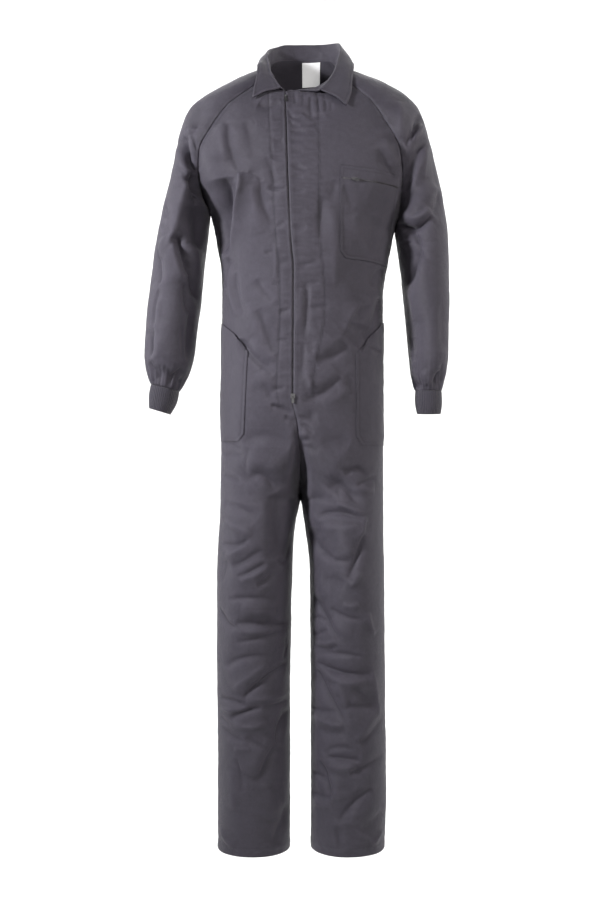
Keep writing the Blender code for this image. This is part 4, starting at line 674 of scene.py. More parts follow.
BACK_FOLDS = [
    (-150, -310, -100, -345, -50, -395, 15, -5, 0.58, 0.2),
    (-140, -285, -90, -315, -35, -360, 14, 3.5, 0.84),
    (148, -330, 105, -362, 55, -408, 15, -5, 0.58, -0.2),
    (140, -300, 95, -335, 40, -375, 14, 3.5, 0.84),
    (-120, -130, -105, -190, -115, -255, 16, 3.5, 0.72),
    (118, -140, 102, -200, 110, -270, 16, 3.5, 0.72),
    (-60, -405, -10, -425, 50, -418, 10, -3, 0.58),
    (-110, -470, -60, -500, -10, -560, 14, -3.5, 0.72),
    (120, -475, 70, -510, 20, -575, 14, -3.5, 0.72),
    (-95, -812, -55, -838, -18, -858, 15, -7, 0.46, 0.2),
    (95, -812, 52, -842, 14, -862, 15, -7, 0.46, -0.2),
    (-110, -790, -62, -808, -20, -822, 13, 3.5, 0.72),
    (112, -788, 60, -806, 16, -824, 13, 3.5, 0.72),
    (-152, -965, -105, -925, -55, -895, 15, -6, 0.46),
    (150, -960, 100, -928, 55, -900, 15, -6, 0.46),
    (-145, -1010, -100, -985, -40, -960, 12, 4, 0.58),
    (148, -1005, 100, -990, 40, -955, 12, 4, 0.58),
    (-155, -1105, -100, -1128, -35, -1120, 12, -6.5, 0.33, 0.2),
    (-150, -1148, -95, -1128, -40, -1090, 11, 5, 0.33),
    (-130, -1165, -90, -1178, -45, -1160, 10, -4, 0.33),
    (-140, -1060, -95, -1075, -45, -1055, 10, -3.5, 0.46),
    (155, -1118, 100, -1142, 35, -1134, 12, -6.5, 0.33, 0.2),
    (142, -1080, 90, -1104, 40, -1098, 11, 5, 0.33),
    (130, -1176, 85, -1190, 40, -1170, 10, -4, 0.33),
    (145, -1050, 100, -1062, 50, -1040, 10, -3.5, 0.46),
    (-142, -1345, -105, -1318, -58, -1300, 14, -5.5, 0.46),
    (-130, -1385, -98, -1362, -60, -1345, 12, 3.5, 0.72),
    (132, -1330, 92, -1352, 50, -1372, 14, -5.5, 0.46),
    (128, -1372, 90, -1395, 50, -1412, 12, 3.5, 0.72),
    (-98, -1440, -94, -1500, -100, -1560, 16, 3, 0.84),
    (90, -1450, 96, -1505, 92, -1565, 16, 3, 0.84),
    (-300, -425, -262, -412, -212, -392, 10, -5.5, 0.33, 0.2),
    (-302, -400, -262, -388, -210, -372, 9, 4, 0.46),
    (-306, -462, -262, -446, -216, -440, 10, -4, 0.46),
    (-240, -180, -222, -228, -215, -280, 11, -4, 0.58),
    (290, -432, 255, -420, 212, -402, 10, -5.5, 0.33, 0.2),
    (292, -410, 255, -396, 212, -380, 9, 4, 0.46), (295, -470, 258, -458, 216, -452, 10, -4, 0.46),
    (240, -170, 226, -225, 212, -290, 11, -4, 0.58),
    (-300, -560, -268, -572, -232, -566, 11, -3, 0.72),
    (284, -560, 258, -574, 228, -568, 11, -3, 0.72)]
print(len(FRONT_FOLDS), "folds in front,", len(BACK_FOLDS), "behind")


# %% Fold relief
FOLD_GAIN = 1.6            # all folds together, deeper or flatter


def fold_relief(points, normals):
    """How far the folds lift or sink each point of a piece, in metres."""
    relief = np.zeros(points.shape[:2])
    seen = points[..., [0, 2]]
    steps = np.linspace(0, 1, 13)[:, None]
    listed = [(-1, fold) for fold in FRONT_FOLDS] + [(1, fold) for fold in BACK_FOLDS]
    for number, (side, fold) in enumerate(listed):
        first, middle, last = np.array(fold[:6]).reshape(3, 2) * MM
        width, height, softness, lean = fold[6:] + (SHARP, UPRIGHT)[len(fold) - 8:]
        pull = 2 * middle - (first + last) / 2
        line = first * (1 - steps)**2 + 2 * pull * steps * (1 - steps) + last * steps**2
        reach = 4.0 * width * MM
        low, high = line.min(axis=0) - reach, line.max(axis=0) + reach
        near = np.all((seen > low) & (seen < high), axis=-1) & (normals[..., 1] * side > 0.05)
        if not near.any():
            continue
        spots = seen[near]
        along = np.diff(line, axis=0)
        offset = spots[:, None] - line[:-1]
        share = np.clip((offset * along).sum(axis=-1) / (along**2).sum(axis=-1), 0, 1)
        offset -= share[..., None] * along
        distance = np.linalg.norm(offset, axis=-1)
        nearest = distance.argmin(axis=1)
        pick = np.arange(len(spots))
        turn = np.sign(along[nearest, 0] * offset[pick, nearest, 1]
                       - along[nearest, 1] * offset[pick, nearest, 0])
        place = (nearest + share[pick, nearest]) / len(along)
        wander = 1 + 0.2 * np.sin(5.0 * place + 1.7 * number) + 0.12 * np.sin(13 * place + number)
        taper = (1 - np.abs(2 * place - 1)**3)**0.8
        lean += 0.15 * math.sin(2.4 * number)
        spread = width * MM * (1 + lean * turn) * (0.7 + 0.3 * taper) * wander
        crest = spread * softness
        facing = np.clip((normals[..., 1][near] * side - 0.05) / 0.4, 0, 1)
        shape = np.exp(-(np.hypot(distance[pick, nearest], crest) - crest) / spread)
        relief[near] += FOLD_GAIN * height * MM * taper * facing * shape
    return relief

# %% [markdown]
# ## Small unevenness, seams and gathers
# Between the big folds real twill is never flat. It ripples softly, puckers beside each line of
# sewing and sinks into it, bunches above the cuffs, and lies doubled beside the zip and at the
# hems. Noise gives the ripples and puckers, and distances along the cloth give the rest.

# %% Distances to the edges
def edge_distances(grid):
    """Each point's distance along the cloth to the first and last row and column."""
    def both_ways(axis):
        steps = np.linalg.norm(np.diff(grid, axis=axis), axis=-1)
        start = np.zeros_like(grid[:1, :, 0] if axis == 0 else grid[:, :1, 0])
        reached = np.concatenate([start, np.cumsum(steps, axis=axis)], axis=axis)
        end = reached[-1:] if axis == 0 else reached[:, -1:]
        return reached, end - reached
    top, bottom = both_ways(0)
    first, last = both_ways(1)
    return {"top": top, "bottom": bottom, "first": first, "last": last}


def ripple(points, size, seed, octaves=2):
    """Soft noise over a grid; size is the ripple's length in metres along x, y and z."""
    size = np.array(size)
    shifted = points.reshape(-1, 3) / size + seed * 7.31
    values = [noise.fractal(Vector(p), 0.6, 2.0, octaves) for p in shifted]
    return np.array(values).reshape(points.shape[:2])


distances = {name: edge_distances(grid) for name, grid in grids.items()}
print("sleeve length along its top:",
      round(float(distances["sleeve_left"]["top"][-1, SLEEVE_POINTS // 2]), 3), "m")

# %% Relief of each piece
HEM_BAND = 16 * MM
FACING = Table("z right left", [
    (-0.700, 0.027, 0.040), (-0.6542, 0.032, 0.040), (-0.505, 0.026, 0.062),
    (-0.3597, 0.0295, 0.056), (-0.2033, 0.0315, 0.063), (-0.1029, 0.034, 0.064),
    (-0.060, 0.034, 0.064)])


def facing_depth(name, points):
    """How far each point of a front lies inside the stitched facing beside the zip, in metres."""
    side = name.removeprefix("front_")
    heights = np.linspace(-0.70, -0.06, 80)
    width = np.interp(points[..., 2], heights, [FACING.at(side, z) for z in heights])
    middle = np.interp(points[..., 2], heights, [ZIP_LINE.at("x", z) for z in heights])
    inside = width - np.abs(points[..., 0] - middle)
    return np.where(points[..., 2] > ZIP_BOTTOM, inside, -1.0)


def smooth_step(value, low, high):
    """0 below low, 1 above high and smooth between."""
    share = np.clip((value - low) / (high - low), 0, 1)
    return share * share * (3 - 2 * share)


def seam_relief(distance, along):
    """Beside a seam the cloth sinks into it, and puckers a little along it."""
    groove = -0.28 * MM * np.exp(-(distance / (1.5 * MM))**2)
    swell = 0.2 * MM * np.exp(-((distance - 5 * MM) / (3.5 * MM))**2)
    pucker = 1.0 * MM * along * np.exp(-distance / (11 * MM))
    return groove + swell + pucker


def piece_relief(name, grid, normal, distance):
    """All the relief of one cut piece."""
    relief = fold_relief(grid, normal)
    relief += 0.8 * MM * ripple(grid, (0.055, 0.055, 0.075), 1)
    relief += 0.35 * MM * ripple(grid, (0.016, 0.016, 0.016), 2)
    fine = ripple(grid, (0.011, 0.011, 0.011), 3, 1)
    nearest = distance["last"]
    if name.startswith("front"):
        below_zip = smooth_step(-grid[..., 2], 0.682, 0.700)
        relief += seam_relief(distance["first"], fine) * below_zip
        lip = 0.9 * MM if name.endswith("right") else 0.5 * MM
        relief += lip * np.exp(-((distance["first"] - 3 * MM) / (2.6 * MM))**2) * (1 - below_zip)
        depth = facing_depth(name, grid)
        doubled = smooth_step(depth, 0.0, 4 * MM)
        crosswise = ripple(grid, (0.045, 0.045, 0.012), 4)
        relief += doubled * (0.45 * MM + 1.0 * MM * crosswise * smooth_step(depth, 0, 12 * MM))
        relief -= 0.6 * MM * np.exp(-((depth - 1 * MM) / (2.2 * MM))**2)
        at_line = np.exp(-(depth / (11 * MM))**2)
        relief += 0.9 * MM * ripple(grid, (0.030, 0.030, 0.011), 5) * at_line
        neck = np.exp(-distance["top"] / (22 * MM)) * (name == "front_left")
        relief += 1.9 * MM * neck * ripple(grid, (0.0085, 0.05, 0.05), 6)
    elif name.startswith("sleeve"):
        nearest = np.minimum(distance["first"], distance["last"])
        cuff = np.exp(-distance["bottom"] / (20 * MM))
        relief *= 1 - np.exp(-(distance["bottom"] / (6 * MM))**2)
        angle = np.linspace(0, 2 * np.pi, grid.shape[1])[None, :]
        gathers = np.sin(17 * angle + 3.2 * np.sin(2 * angle)) + 0.8 * np.sin(26 * angle + 1.0)
        fade = np.sin(angle / 2) ** 0.3
        fade = fade * (1 - np.exp(-(distance["bottom"] / (5 * MM))**2))
        relief += 2.6 * MM * cuff * gathers * fade
    elif name == "back_upper":
        nearest = np.minimum(nearest, distance["first"])
        relief += seam_relief(distance["bottom"], fine)
    else:
        relief += seam_relief(distance["first"], fine)
        relief += seam_relief(distance["top"], fine)
    relief += seam_relief(nearest, fine)
    if name.startswith("front") or name.startswith("back_lower"):
        band = smooth_step(-distance["bottom"], -HEM_BAND - 1.5 * MM, -HEM_BAND + 1.5 * MM)
        relief += 0.7 * MM * band
        relief += 0.8 * MM * fine * np.exp(-((distance["bottom"] - HEM_BAND) / (12 * MM))**2)
    return relief


reliefs = {name: piece_relief(name, grid, normals[name], distances[name])
           for name, grid in grids.items()}
seam_points = {}
for name, grid in grids.items():
    for edge in RIM:
        for point, value in zip(np.round(grid[edge], 6), reliefs[name][edge]):
            seam_points.setdefault(tuple(point), []).append(value)
for name, grid in grids.items():
    for edge in RIM:
        reliefs[name][edge] = [np.mean(seam_points[tuple(p)]) for p in np.round(grid[edge], 6)]
for name in grids:
    grids[name] = grids[name] + normals[name] * reliefs[name][..., None]
normals = shared_normals(grids)
for name, relief in reliefs.items():
    print(name, "relief from", round(relief.min() / MM, 1), "to", round(relief.max() / MM, 1), "mm")


# %% [markdown]
# ## Finishes
# The suit is a dark grey cotton twill that has been washed a few times. Its weave shows as fine
# slanting ribs, the colour is a little cloudy, and ridges and seam edges have rubbed paler, while
# the fold valleys and sunk stitch lines get painted shade. These effects are shared, so each is a
# node group that is built once. Patterns on cloth follow the cloth: they read a UV map in metres,
# so that the ribs turn with every sleeve.

# %% Helpers for node trees
def place(tree, kind, links=None, **settings):
    """Adds a node, sets its properties, and links or sets its inputs."""
    node = tree.nodes.new(kind)
    for key, value in settings.items():
        setattr(node, key, value)
    for key, value in (links or {}).items():
        if isinstance(value, bpy.types.NodeSocket):
            tree.links.new(value, node.inputs[key])
        else:
            node.inputs[key].default_value = value
    return node


def sums(tree, operation, a, b=0.0, c=0.5):
    """One Math node; a, b and c are sockets or numbers."""
    return place(tree, "ShaderNodeMath", {0: a, 1: b, 2: c}, operation=operation).outputs[0]


def new_group(name, inputs, outputs):
    """A shader node group with named sockets: its tree, and its input and output nodes."""
    tree = bpy.data.node_groups.new(name, "ShaderNodeTree")
    for title, kind, value in inputs:
        socket = tree.interface.new_socket(title, in_out="INPUT", socket_type=kind)
        if value is not None:
            socket.default_value = value
    for title, kind in outputs:
        tree.interface.new_socket(title, in_out="OUTPUT", socket_type=kind)
    return tree, tree.nodes.new("NodeGroupInput").outputs, tree.nodes.new("NodeGroupOutput").inputs


VALUE, VECTOR = "NodeSocketFloat", "NodeSocketVector"

# %% Weave, clouding, and rubbed edges with painted shade as node groups
weave, given, made = new_group("twill_weave", [
    ("Place", VECTOR, None), ("Pitch", VALUE, 0.0011), ("Slant", VALUE, 1.0)], [
    ("Height", VALUE), ("Shade", VALUE)])
wander = place(weave, "ShaderNodeTexNoise", {"Vector": given["Place"], "Scale": 160.0,
                                             "Detail": 1.0})
parts = place(weave, "ShaderNodeSeparateXYZ", {0: given["Place"]}).outputs
slanted = sums(weave, "ADD", parts[0], sums(weave, "MULTIPLY", parts[1], given["Slant"]))
turns = sums(weave, "DIVIDE", slanted, given["Pitch"])
turns = sums(weave, "ADD", turns, sums(weave, "MULTIPLY", wander.outputs[0], 0.9))
ribs = sums(weave, "SINE", sums(weave, "MULTIPLY", turns, 2 * math.pi))
picks = sums(weave, "DIVIDE", sums(weave, "MULTIPLY", parts[1], 2.0), given["Pitch"])
threads = sums(weave, "SINE", sums(weave, "MULTIPLY", picks, 2 * math.pi))
weave.links.new(sums(weave, "ADD", ribs, sums(weave, "MULTIPLY", threads, 0.35)), made["Height"])
weave.links.new(sums(weave, "MULTIPLY_ADD", ribs, 0.5, 0.5), made["Shade"])

cloud, given, made = new_group("washed_cloud", [
    ("Place", VECTOR, None), ("Size", VALUE, 14.0)], [
    ("Cloud", VALUE), ("Fleck", VALUE), ("Crease", VALUE)])
big = place(cloud, "ShaderNodeTexNoise", {"Vector": given["Place"], "Scale": given["Size"],
                                          "Detail": 4.0, "Roughness": 0.6})
small = place(cloud, "ShaderNodeTexNoise", {"Vector": given["Place"], "Scale": 380.0,
                                            "Detail": 3.0, "Roughness": 0.7})
cloud.links.new(sums(cloud, "SUBTRACT", big.outputs[0], 0.5), made["Cloud"])
cloud.links.new(sums(cloud, "SUBTRACT", small.outputs[0], 0.5), made["Fleck"])
worn = place(cloud, "ShaderNodeTexNoise", {"Vector": given["Place"], "Scale": 26.0, "Detail": 4.0,
                                           "Roughness": 0.55, "Distortion": 0.8})
cloud.links.new(sums(cloud, "ABSOLUTE", sums(cloud, "SUBTRACT", worn.outputs[0], 0.5)),
                made["Crease"])

# Rubbed pale edges together with painted shade: the attribute read here also darkens fold valleys
# and stitch lines.
rub_and_shade, given, made = new_group("rubbed_edges_and_painted_shade", [
    ("Place", VECTOR, None), ("Wear and shade", VALUE, 0.0), ("Strength", VALUE, 1.0)], [("Rub and shade", VALUE)])
broken = place(rub_and_shade, "ShaderNodeTexNoise", {"Vector": given["Place"], "Scale": 120.0, "Detail": 3.0})
patchy = sums(rub_and_shade, "MULTIPLY", given["Wear and shade"], sums(rub_and_shade, "ADD", broken.outputs[0], 0.5))
rub_and_shade.links.new(sums(rub_and_shade, "MULTIPLY", patchy, given["Strength"]), made["Rub and shade"])
print("node groups:", [group.name for group in bpy.data.node_groups if "." not in group.name])


# %% Cloth materials
def shader_of(name, **values):
    """A new material's tree and Principled shader, with plain values set on its sockets."""
    made = bpy.data.materials.new(name)
    made.use_nodes = True
    shader = made.node_tree.nodes["Principled BSDF"]
    for key, value in values.items():
        shader.inputs[key.replace("_", " ")].default_value = value
    return made, made.node_tree, shader


def colour_between(tree, shader, dark, light, share):
    """The base colour lies between a dark and a light one, as a 0 to 1 mask says."""
    mixed = place(tree, "ShaderNodeMix", {0: share, 6: (*dark, 1), 7: (*light, 1)},
                  data_type="RGBA", clamp_factor=True)
    tree.links.new(mixed.outputs[2], shader.inputs["Base Color"])


def cloth_material(name, dark, light, pitch, slant=1.0, bump=0.35, sheen=0.08, roughness=0.58,
                   crease=0.25):
    """Woven or knitted cloth: ribs along the UV map, clouded colour, rubbed ridges and painted
    shade.
    """
    made, tree, shader = shader_of(name, Sheen_Weight=sheen, Sheen_Roughness=0.4,
                                   Specular_IOR_Level=0.28)
    uv = place(tree, "ShaderNodeUVMap", uv_map="cloth").outputs[0]
    spot = place(tree, "ShaderNodeTexCoord").outputs["Object"]
    wear_and_shade = place(tree, "ShaderNodeAttribute", attribute_name="wear_and_shade").outputs["Fac"]
    woven = place(tree, "ShaderNodeGroup", {"Place": uv, "Pitch": pitch, "Slant": slant},
                  node_tree=weave).outputs
    clouded = place(tree, "ShaderNodeGroup", {"Place": spot}, node_tree=cloud).outputs
    rubbed_and_shaded = place(tree, "ShaderNodeGroup", {"Place": spot, "Wear and shade": wear_and_shade}, node_tree=rub_and_shade).outputs
    share = sums(tree, "MULTIPLY_ADD", woven["Shade"], 0.35, 0.40)
    share = sums(tree, "ADD", share, sums(tree, "MULTIPLY", clouded["Cloud"], 0.55))
    share = sums(tree, "ADD", share, sums(tree, "MULTIPLY", clouded["Fleck"], 1.1))
    colour_between(tree, shader, dark, light, sums(tree, "ADD", share, rubbed_and_shaded["Rub and shade"]))
    gloss = sums(tree, "MULTIPLY_ADD", clouded["Cloud"], 0.12, roughness)
    tree.links.new(gloss, shader.inputs["Roughness"])
    rise = sums(tree, "ADD", woven["Height"], clouded["Fleck"])
    soft = place(tree, "ShaderNodeBump", {"Strength": crease, "Distance": 0.006,
                                          "Height": clouded["Crease"]})
    raised = place(tree, "ShaderNodeBump", {"Strength": bump, "Distance": 0.0004, "Height": rise,
                                            "Normal": soft.outputs[0]})
    tree.links.new(raised.outputs[0], shader.inputs["Normal"])
    return made


twill = cloth_material("twill_grey", (0.045, 0.0410, 0.0535), (0.076, 0.0695, 0.089), 0.0011)
knit = cloth_material("rib_knit_grey", (0.042, 0.039, 0.050), (0.068, 0.063, 0.080), 0.0016,
                      slant=0.4, bump=0.7, sheen=0.35, roughness=0.9, crease=0.0)
tape_weave = cloth_material("zip_tape_weave", (0.036, 0.034, 0.040), (0.065, 0.062, 0.070), 0.0008,
                            slant=0.0, bump=0.5, sheen=0.1, crease=0.0)
satin = cloth_material("label_satin_white", (0.86, 0.86, 0.86), (0.95, 0.95, 0.95), 0.0005,
                       slant=0.0, bump=0.15, sheen=0.1, roughness=0.42, crease=0.0)
# The label glows a little: painted light that keeps it white in the shade inside the neck.
label_glow_painted_light = satin.node_tree.nodes["Principled BSDF"].inputs
label_glow_painted_light["Emission Color"].default_value = (1, 1, 1, 1)
label_glow_painted_light["Emission Strength"].default_value = 0.30
print("cloth materials:", twill.name, knit.name, tape_weave.name, satin.name)


# %% [markdown]
# Sewing thread is twisted, the zip teeth are darkened metal, and the sliders and pulls are nickel
# with fine scratches, bright at the neck; the copies on the bottom slider and the chest zip are
# darker, painted shade. None of them has a UV map, so they read the place in the object.

# %% Thread, teeth and nickel
thread, tree, shader = shader_of("sewing_thread", Sheen_Weight=0.2, Specular_IOR_Level=0.35)
spot = place(tree, "ShaderNodeTexCoord").outputs["Object"]
clouded = place(tree, "ShaderNodeGroup", {"Place": spot}, node_tree=cloud).outputs
colour_between(tree, shader, (0.030, 0.028, 0.036), (0.056, 0.052, 0.064),
               sums(tree, "ADD", clouded["Fleck"], 0.5))
shader.inputs["Roughness"].default_value = 0.6
twist = place(tree, "ShaderNodeTexWave", {"Vector": spot, "Scale": 1500.0},
              bands_direction="DIAGONAL")
raised = place(tree, "ShaderNodeBump", {"Strength": 0.4, "Distance": 0.0001,
                                        "Height": twist.outputs["Fac"]})
tree.links.new(raised.outputs[0], shader.inputs["Normal"])


def metal_material(name, dark, light, roughness, scratches):
    """Plated or darkened metal: cloudy colour, and scratches that change its gloss."""
    made, tree, shader = shader_of(name, Metallic=1.0)
    spot = place(tree, "ShaderNodeTexCoord").outputs["Object"]
    clouded = place(tree, "ShaderNodeGroup", {"Place": spot, "Size": 400.0},
                    node_tree=cloud).outputs
    stretched = place(tree, "ShaderNodeMapping", {0: spot, "Scale": (900, 900, 7000)})
    lines = place(tree, "ShaderNodeTexNoise", {"Vector": stretched.outputs[0], "Detail": 3.0,
                                               "Scale": 1.0})
    share = sums(tree, "ADD", sums(tree, "MULTIPLY", clouded["Cloud"], 1.4), 0.5)
    colour_between(tree, shader, dark, light, share)
    gloss = sums(tree, "MULTIPLY_ADD", lines.outputs[0], scratches, roughness)
    tree.links.new(gloss, shader.inputs["Roughness"])
    raised = place(tree, "ShaderNodeBump", {"Strength": 0.25, "Distance": 0.0001,
                                            "Height": lines.outputs[0]})
    tree.links.new(raised.outputs[0], shader.inputs["Normal"])
    return made


dark_metal = metal_material("teeth_metal", (0.05, 0.048, 0.05), (0.13, 0.125, 0.13), 0.36, 0.2)
nickel = metal_material("nickel_brushed", (0.38, 0.38, 0.39), (0.62, 0.62, 0.63), 0.20, 0.25)
# Darker copies of the same nickel: painted shade for the bottom slider and the chest zip.
shaded_nickel = metal_material("nickel_painted_shade", (0.18, 0.18, 0.185), (0.33, 0.33, 0.335), 0.26, 0.25)
dark_shaded_nickel = metal_material("nickel_painted_dark_shade", (0.05, 0.05, 0.055), (0.11, 0.11, 0.115), 0.35, 0.2)
print("small materials:", thread.name, dark_metal.name, nickel.name,
      shaded_nickel.name, dark_shaded_nickel.name)


# %% [markdown]
# ## Making cloth from a grid
# Every cut piece starts as a bmesh grid with one vertex for each point of its pattern. It gets a
# UV map in metres, an attribute that says where the cloth has rubbed pale and where it gets
# painted shade, and a Solidify modifier that gives the sheet its thickness. A sheet with a
# modifier stays easy to change.

# %% Helpers that make cloth objects
def grid_mesh(grid, uv=None, wear_and_shade=None):
    """A bmesh grid laid on the given points, with its UV map, and its wear and painted shade."""
    rows, columns = grid.shape[:2]
    bm = bmesh.new()
    bmesh.ops.create_grid(bm, x_segments=columns - 1, y_segments=rows - 1, size=1)
    rubbed_and_shaded = bm.verts.layers.float.new("wear_and_shade")
    cloth_map = bm.loops.layers.uv.new("cloth")
    bm.verts.ensure_lookup_table()
    # Per point: paler where the cloth is rubbed, darker where painted shade lies.
    worn = np.zeros(grid.shape[:2]) if wear_and_shade is None else wear_and_shade
    for vertex, point, value in zip(bm.verts, grid.reshape(-1, 3), worn.reshape(-1)):
        vertex.co = point
        vertex[rubbed_and_shaded] = value
    if uv is not None:
        flat = uv.reshape(-1, 2)
        for face in bm.faces:
            for loop in face.loops:
                loop[cloth_map].uv = flat[loop.vert.index]
    return bm


def cloth_uv(distance):
    """The UV map in metres, from the distances along the cloth."""
    return np.stack([distance["first"], distance["top"]], axis=-1)


def finished(name, bm, material):
    """Turns a bmesh into a named piece that rides on the suit."""
    mesh = bpy.data.meshes.new(name)
    bm.to_mesh(mesh)
    bm.free()
    mesh.materials.append(material)
    mesh.shade_smooth()
    made = bpy.data.objects.new(name, mesh)
    scene.collection.objects.link(made)
    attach(made, "suit")
    return made


def outward(bm, centre):
    """Turns all faces so that most of them look away from a point."""
    bm.normal_update()
    total = sum(((face.calc_center_median() - Vector(centre)).dot(face.normal) * face.calc_area()
                 for face in bm.faces))
    if total < 0:
        bmesh.ops.reverse_faces(bm, faces=bm.faces[:])


def wall(made, thickness, offset=-1.0):
    """Gives a sheet its thickness with a Solidify modifier."""
    solid = made.modifiers.new("cloth_thickness", "SOLIDIFY")
    solid.thickness = thickness
    solid.offset = offset
    solid.use_rim = True
    return made


def sheet_area(grid):
    """The area of a grid of points, in square metres."""
    across = np.diff(grid, axis=1)
    down = np.diff(grid, axis=0)
    return float(np.linalg.norm(np.cross(across[:-1], down[:, :-1]), axis=-1).sum() / 2
                 + np.linalg.norm(np.cross(across[1:], down[:, 1:]), axis=-1).sum() / 2)


def wear_and_painted_shade_of(relief, distance, edges):
    """Rubbed pale on fold crests and sewn edges, with painted shade in fold valleys and stitch
    lines.
    """
    smooth = relief.copy()
    for _ in range(3):
        padded = np.pad(smooth, 1, mode="edge")
        smooth = (padded[:-2, 1:-1] + padded[2:, 1:-1] + padded[1:-1, :-2] + padded[1:-1, 2:]) / 4
    # Above the smoothed relief the cloth rubs pale; below it, in the fold valleys, it gets painted
    # shade.
    crest = np.clip((relief - smooth) / (0.25 * MM), -0.5, 1.0)
    seam = sum(np.exp(-((distance[edge] - 4.5 * MM) / (2.0 * MM))**2) for edge in edges)
    # Painted shade along each seam groove and its stitch line, where the cloth sinks.
    sunk = sum(np.exp(-((distance[edge] - d * MM) / (1.5 * MM))**2)
               for edge in edges for d in (1, 8))
    return 0.22 * crest + 0.18 * seam - 0.25 * sunk


# %% The seven cut pieces
PIECES = {
    "front_right": ((0.42, 1.60), ["first", "last", "bottom"]),
    "front_left": ((0.44, 1.60), ["first", "last", "bottom"]),
    "back_upper": ((0.52, 0.52), ["first", "last", "bottom"]),
    "back_lower_right": ((0.34, 1.20), ["first", "last", "top", "bottom"]),
    "back_lower_left": ((0.34, 1.20), ["first", "last", "top", "bottom"]),
    "sleeve_right": ((0.56, 0.78), ["first", "last"]),
    "sleeve_left": ((0.56, 0.78), ["first", "last"])}
for name, (cut, edges) in PIECES.items():
    grid, distance = grids[name], distances[name]
    wear_and_shade = wear_and_painted_shade_of(reliefs[name], distance, edges)
    if name.startswith("front"):
        depth = facing_depth(name, grid)
        # Painted shade along the facing's sunk stitch line beside the zip.
        wear_and_shade -= 0.5 * np.exp(-(depth / (1.8 * MM))**2)
    bm = grid_mesh(grid, cloth_uv(distance), wear_and_shade)
    outward(bm, inside_of(name, grid))
    made = wall(finished(name + "_cloth", bm, twill), CLOTH)
    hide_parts(name)
    print(made.name, "area", round(sheet_area(grid), 3), "m2 of a", cut, "m cut")


# %% [markdown]
# ## The collar
# A shirt collar on a stand: it rises from the neckline, rolls over and falls to the points. One
# smooth curve through seven stations makes each section, and a table gives the stations at 17
# places round the neck, because the two sides and the back stand differently. The section
# through a roll needs many points, or the roll looks folded like paper.

# %% Collar sections
COLLAR_CLOTH = 2.2 * MM
NECKLINE_LENGTH = 0.486     # the length that the table's reaches count along
COLLAR_SECTIONS, SECTION_POINTS = 193, 37
COLLAR = Table("c reach lift rx ry rz ex ey ez", [
    (0, 0.000, 2.4, -0.0400, -0.0735, -0.0570, -0.0986, -0.0850, -0.0818),
    (1, 0.028, -0.2, -0.0543, -0.0550, -0.0320, -0.0960, -0.0740, -0.0570),
    (2, 0.060, -1.9, -0.0632, -0.0340, -0.0090, -0.0915, -0.0560, -0.0310),
    (3, 0.092, -1.9, -0.0660, -0.0080, 0.0165, -0.0905, -0.0200, 0.0040),
    (4, 0.119, -1.8, -0.0700, 0.0180, 0.0410, -0.0930, 0.0220, 0.0140),
    (5, 0.149, -1.9, -0.0655, 0.0440, 0.0560, -0.0920, 0.0580, 0.0200),
    (6, 0.176, -2.0, -0.0520, 0.0640, 0.0670, -0.0780, 0.0880, 0.0200),
    (7, 0.205, -2.0, -0.0294, 0.0780, 0.0768, -0.0420, 0.1060, 0.0200),
    (8, 0.235, -2.0, 0.0020, 0.0830, 0.0785, 0.0000, 0.1120, 0.0200),
    (9, 0.265, -1.9, 0.0360, 0.0800, 0.0778, 0.0440, 0.1070, 0.0210),
    (10, 0.297, -1.5, 0.0620, 0.0660, 0.0755, 0.0800, 0.0900, 0.0230),
    (11, 0.323, -1.8, 0.0750, 0.0420, 0.0680, 0.1000, 0.0560, 0.0220),
    (12, 0.354, -1.7, 0.0770, 0.0160, 0.0480, 0.1070, 0.0150, 0.0160),
    (13, 0.383, -1.9, 0.0720, -0.0100, 0.0214, 0.1060, -0.0140, 0.0010),
    (14, 0.415, -1.9, 0.0660, -0.0330, -0.0053, 0.1015, -0.0460, -0.0300),
    (15, 0.451, 0.4, 0.0510, -0.0590, -0.0390, 0.0985, -0.0750, -0.0660),
    (16, 0.486, 3.4, 0.0335, -0.0770, -0.0620, 0.0882, -0.0985, -0.0995)])


def walk_along(points, distance, values=None):
    """The point at a distance along a line of points, or the value the line has there."""
    reached = lengths(points)
    values = points if values is None else values
    return np.array([np.interp(distance, reached, values[:, k]) for k in range(values.shape[1])])


def through(points, count):
    """Points of a smooth curve through the given ones (a centripetal Catmull-Rom spline)."""
    points = np.concatenate([[2 * points[0] - points[1]], points, [2 * points[-1] - points[-2]]])
    gaps = np.maximum(np.linalg.norm(np.diff(points, axis=0), axis=1), 1e-6) ** 0.5
    knots = np.concatenate([[0], np.cumsum(gaps)])
    curve = []
    for t in np.linspace(knots[1], knots[-2], count):
        i = min(max(int(np.searchsorted(knots, t, "right")) - 1, 1), len(points) - 3)
        p, k = points[i - 1:i + 3], knots[i - 1:i + 3]
        a = [p[j] + (p[j + 1] - p[j]) * (t - k[j]) / (k[j + 1] - k[j]) for j in range(3)]
        b = [a[j] + (a[j + 1] - a[j]) * (t - k[j]) / (k[j + 2] - k[j]) for j in range(2)]
        curve.append(b[0] + (b[1] - b[0]) * (t - k[1]) / (k[2] - k[1]))
    return np.array(curve)


order = [("front_right", 1), ("sleeve_right", 1), ("back_upper", 1), ("sleeve_left", -1),
         ("front_left", -1)]
neck_line = np.concatenate([grids[name][0][::way][1:] for name, way in order])
neck_facing = np.concatenate([normals[name][0][::way][1:] for name, way in order])
neck_onward = np.cross(np.gradient(neck_line, axis=0), neck_facing)
neck_onward /= np.linalg.norm(neck_onward, axis=1)[:, None]
neck_length = lengths(neck_line)[-1]
print("neckline", round(float(neck_length), 3), "m")

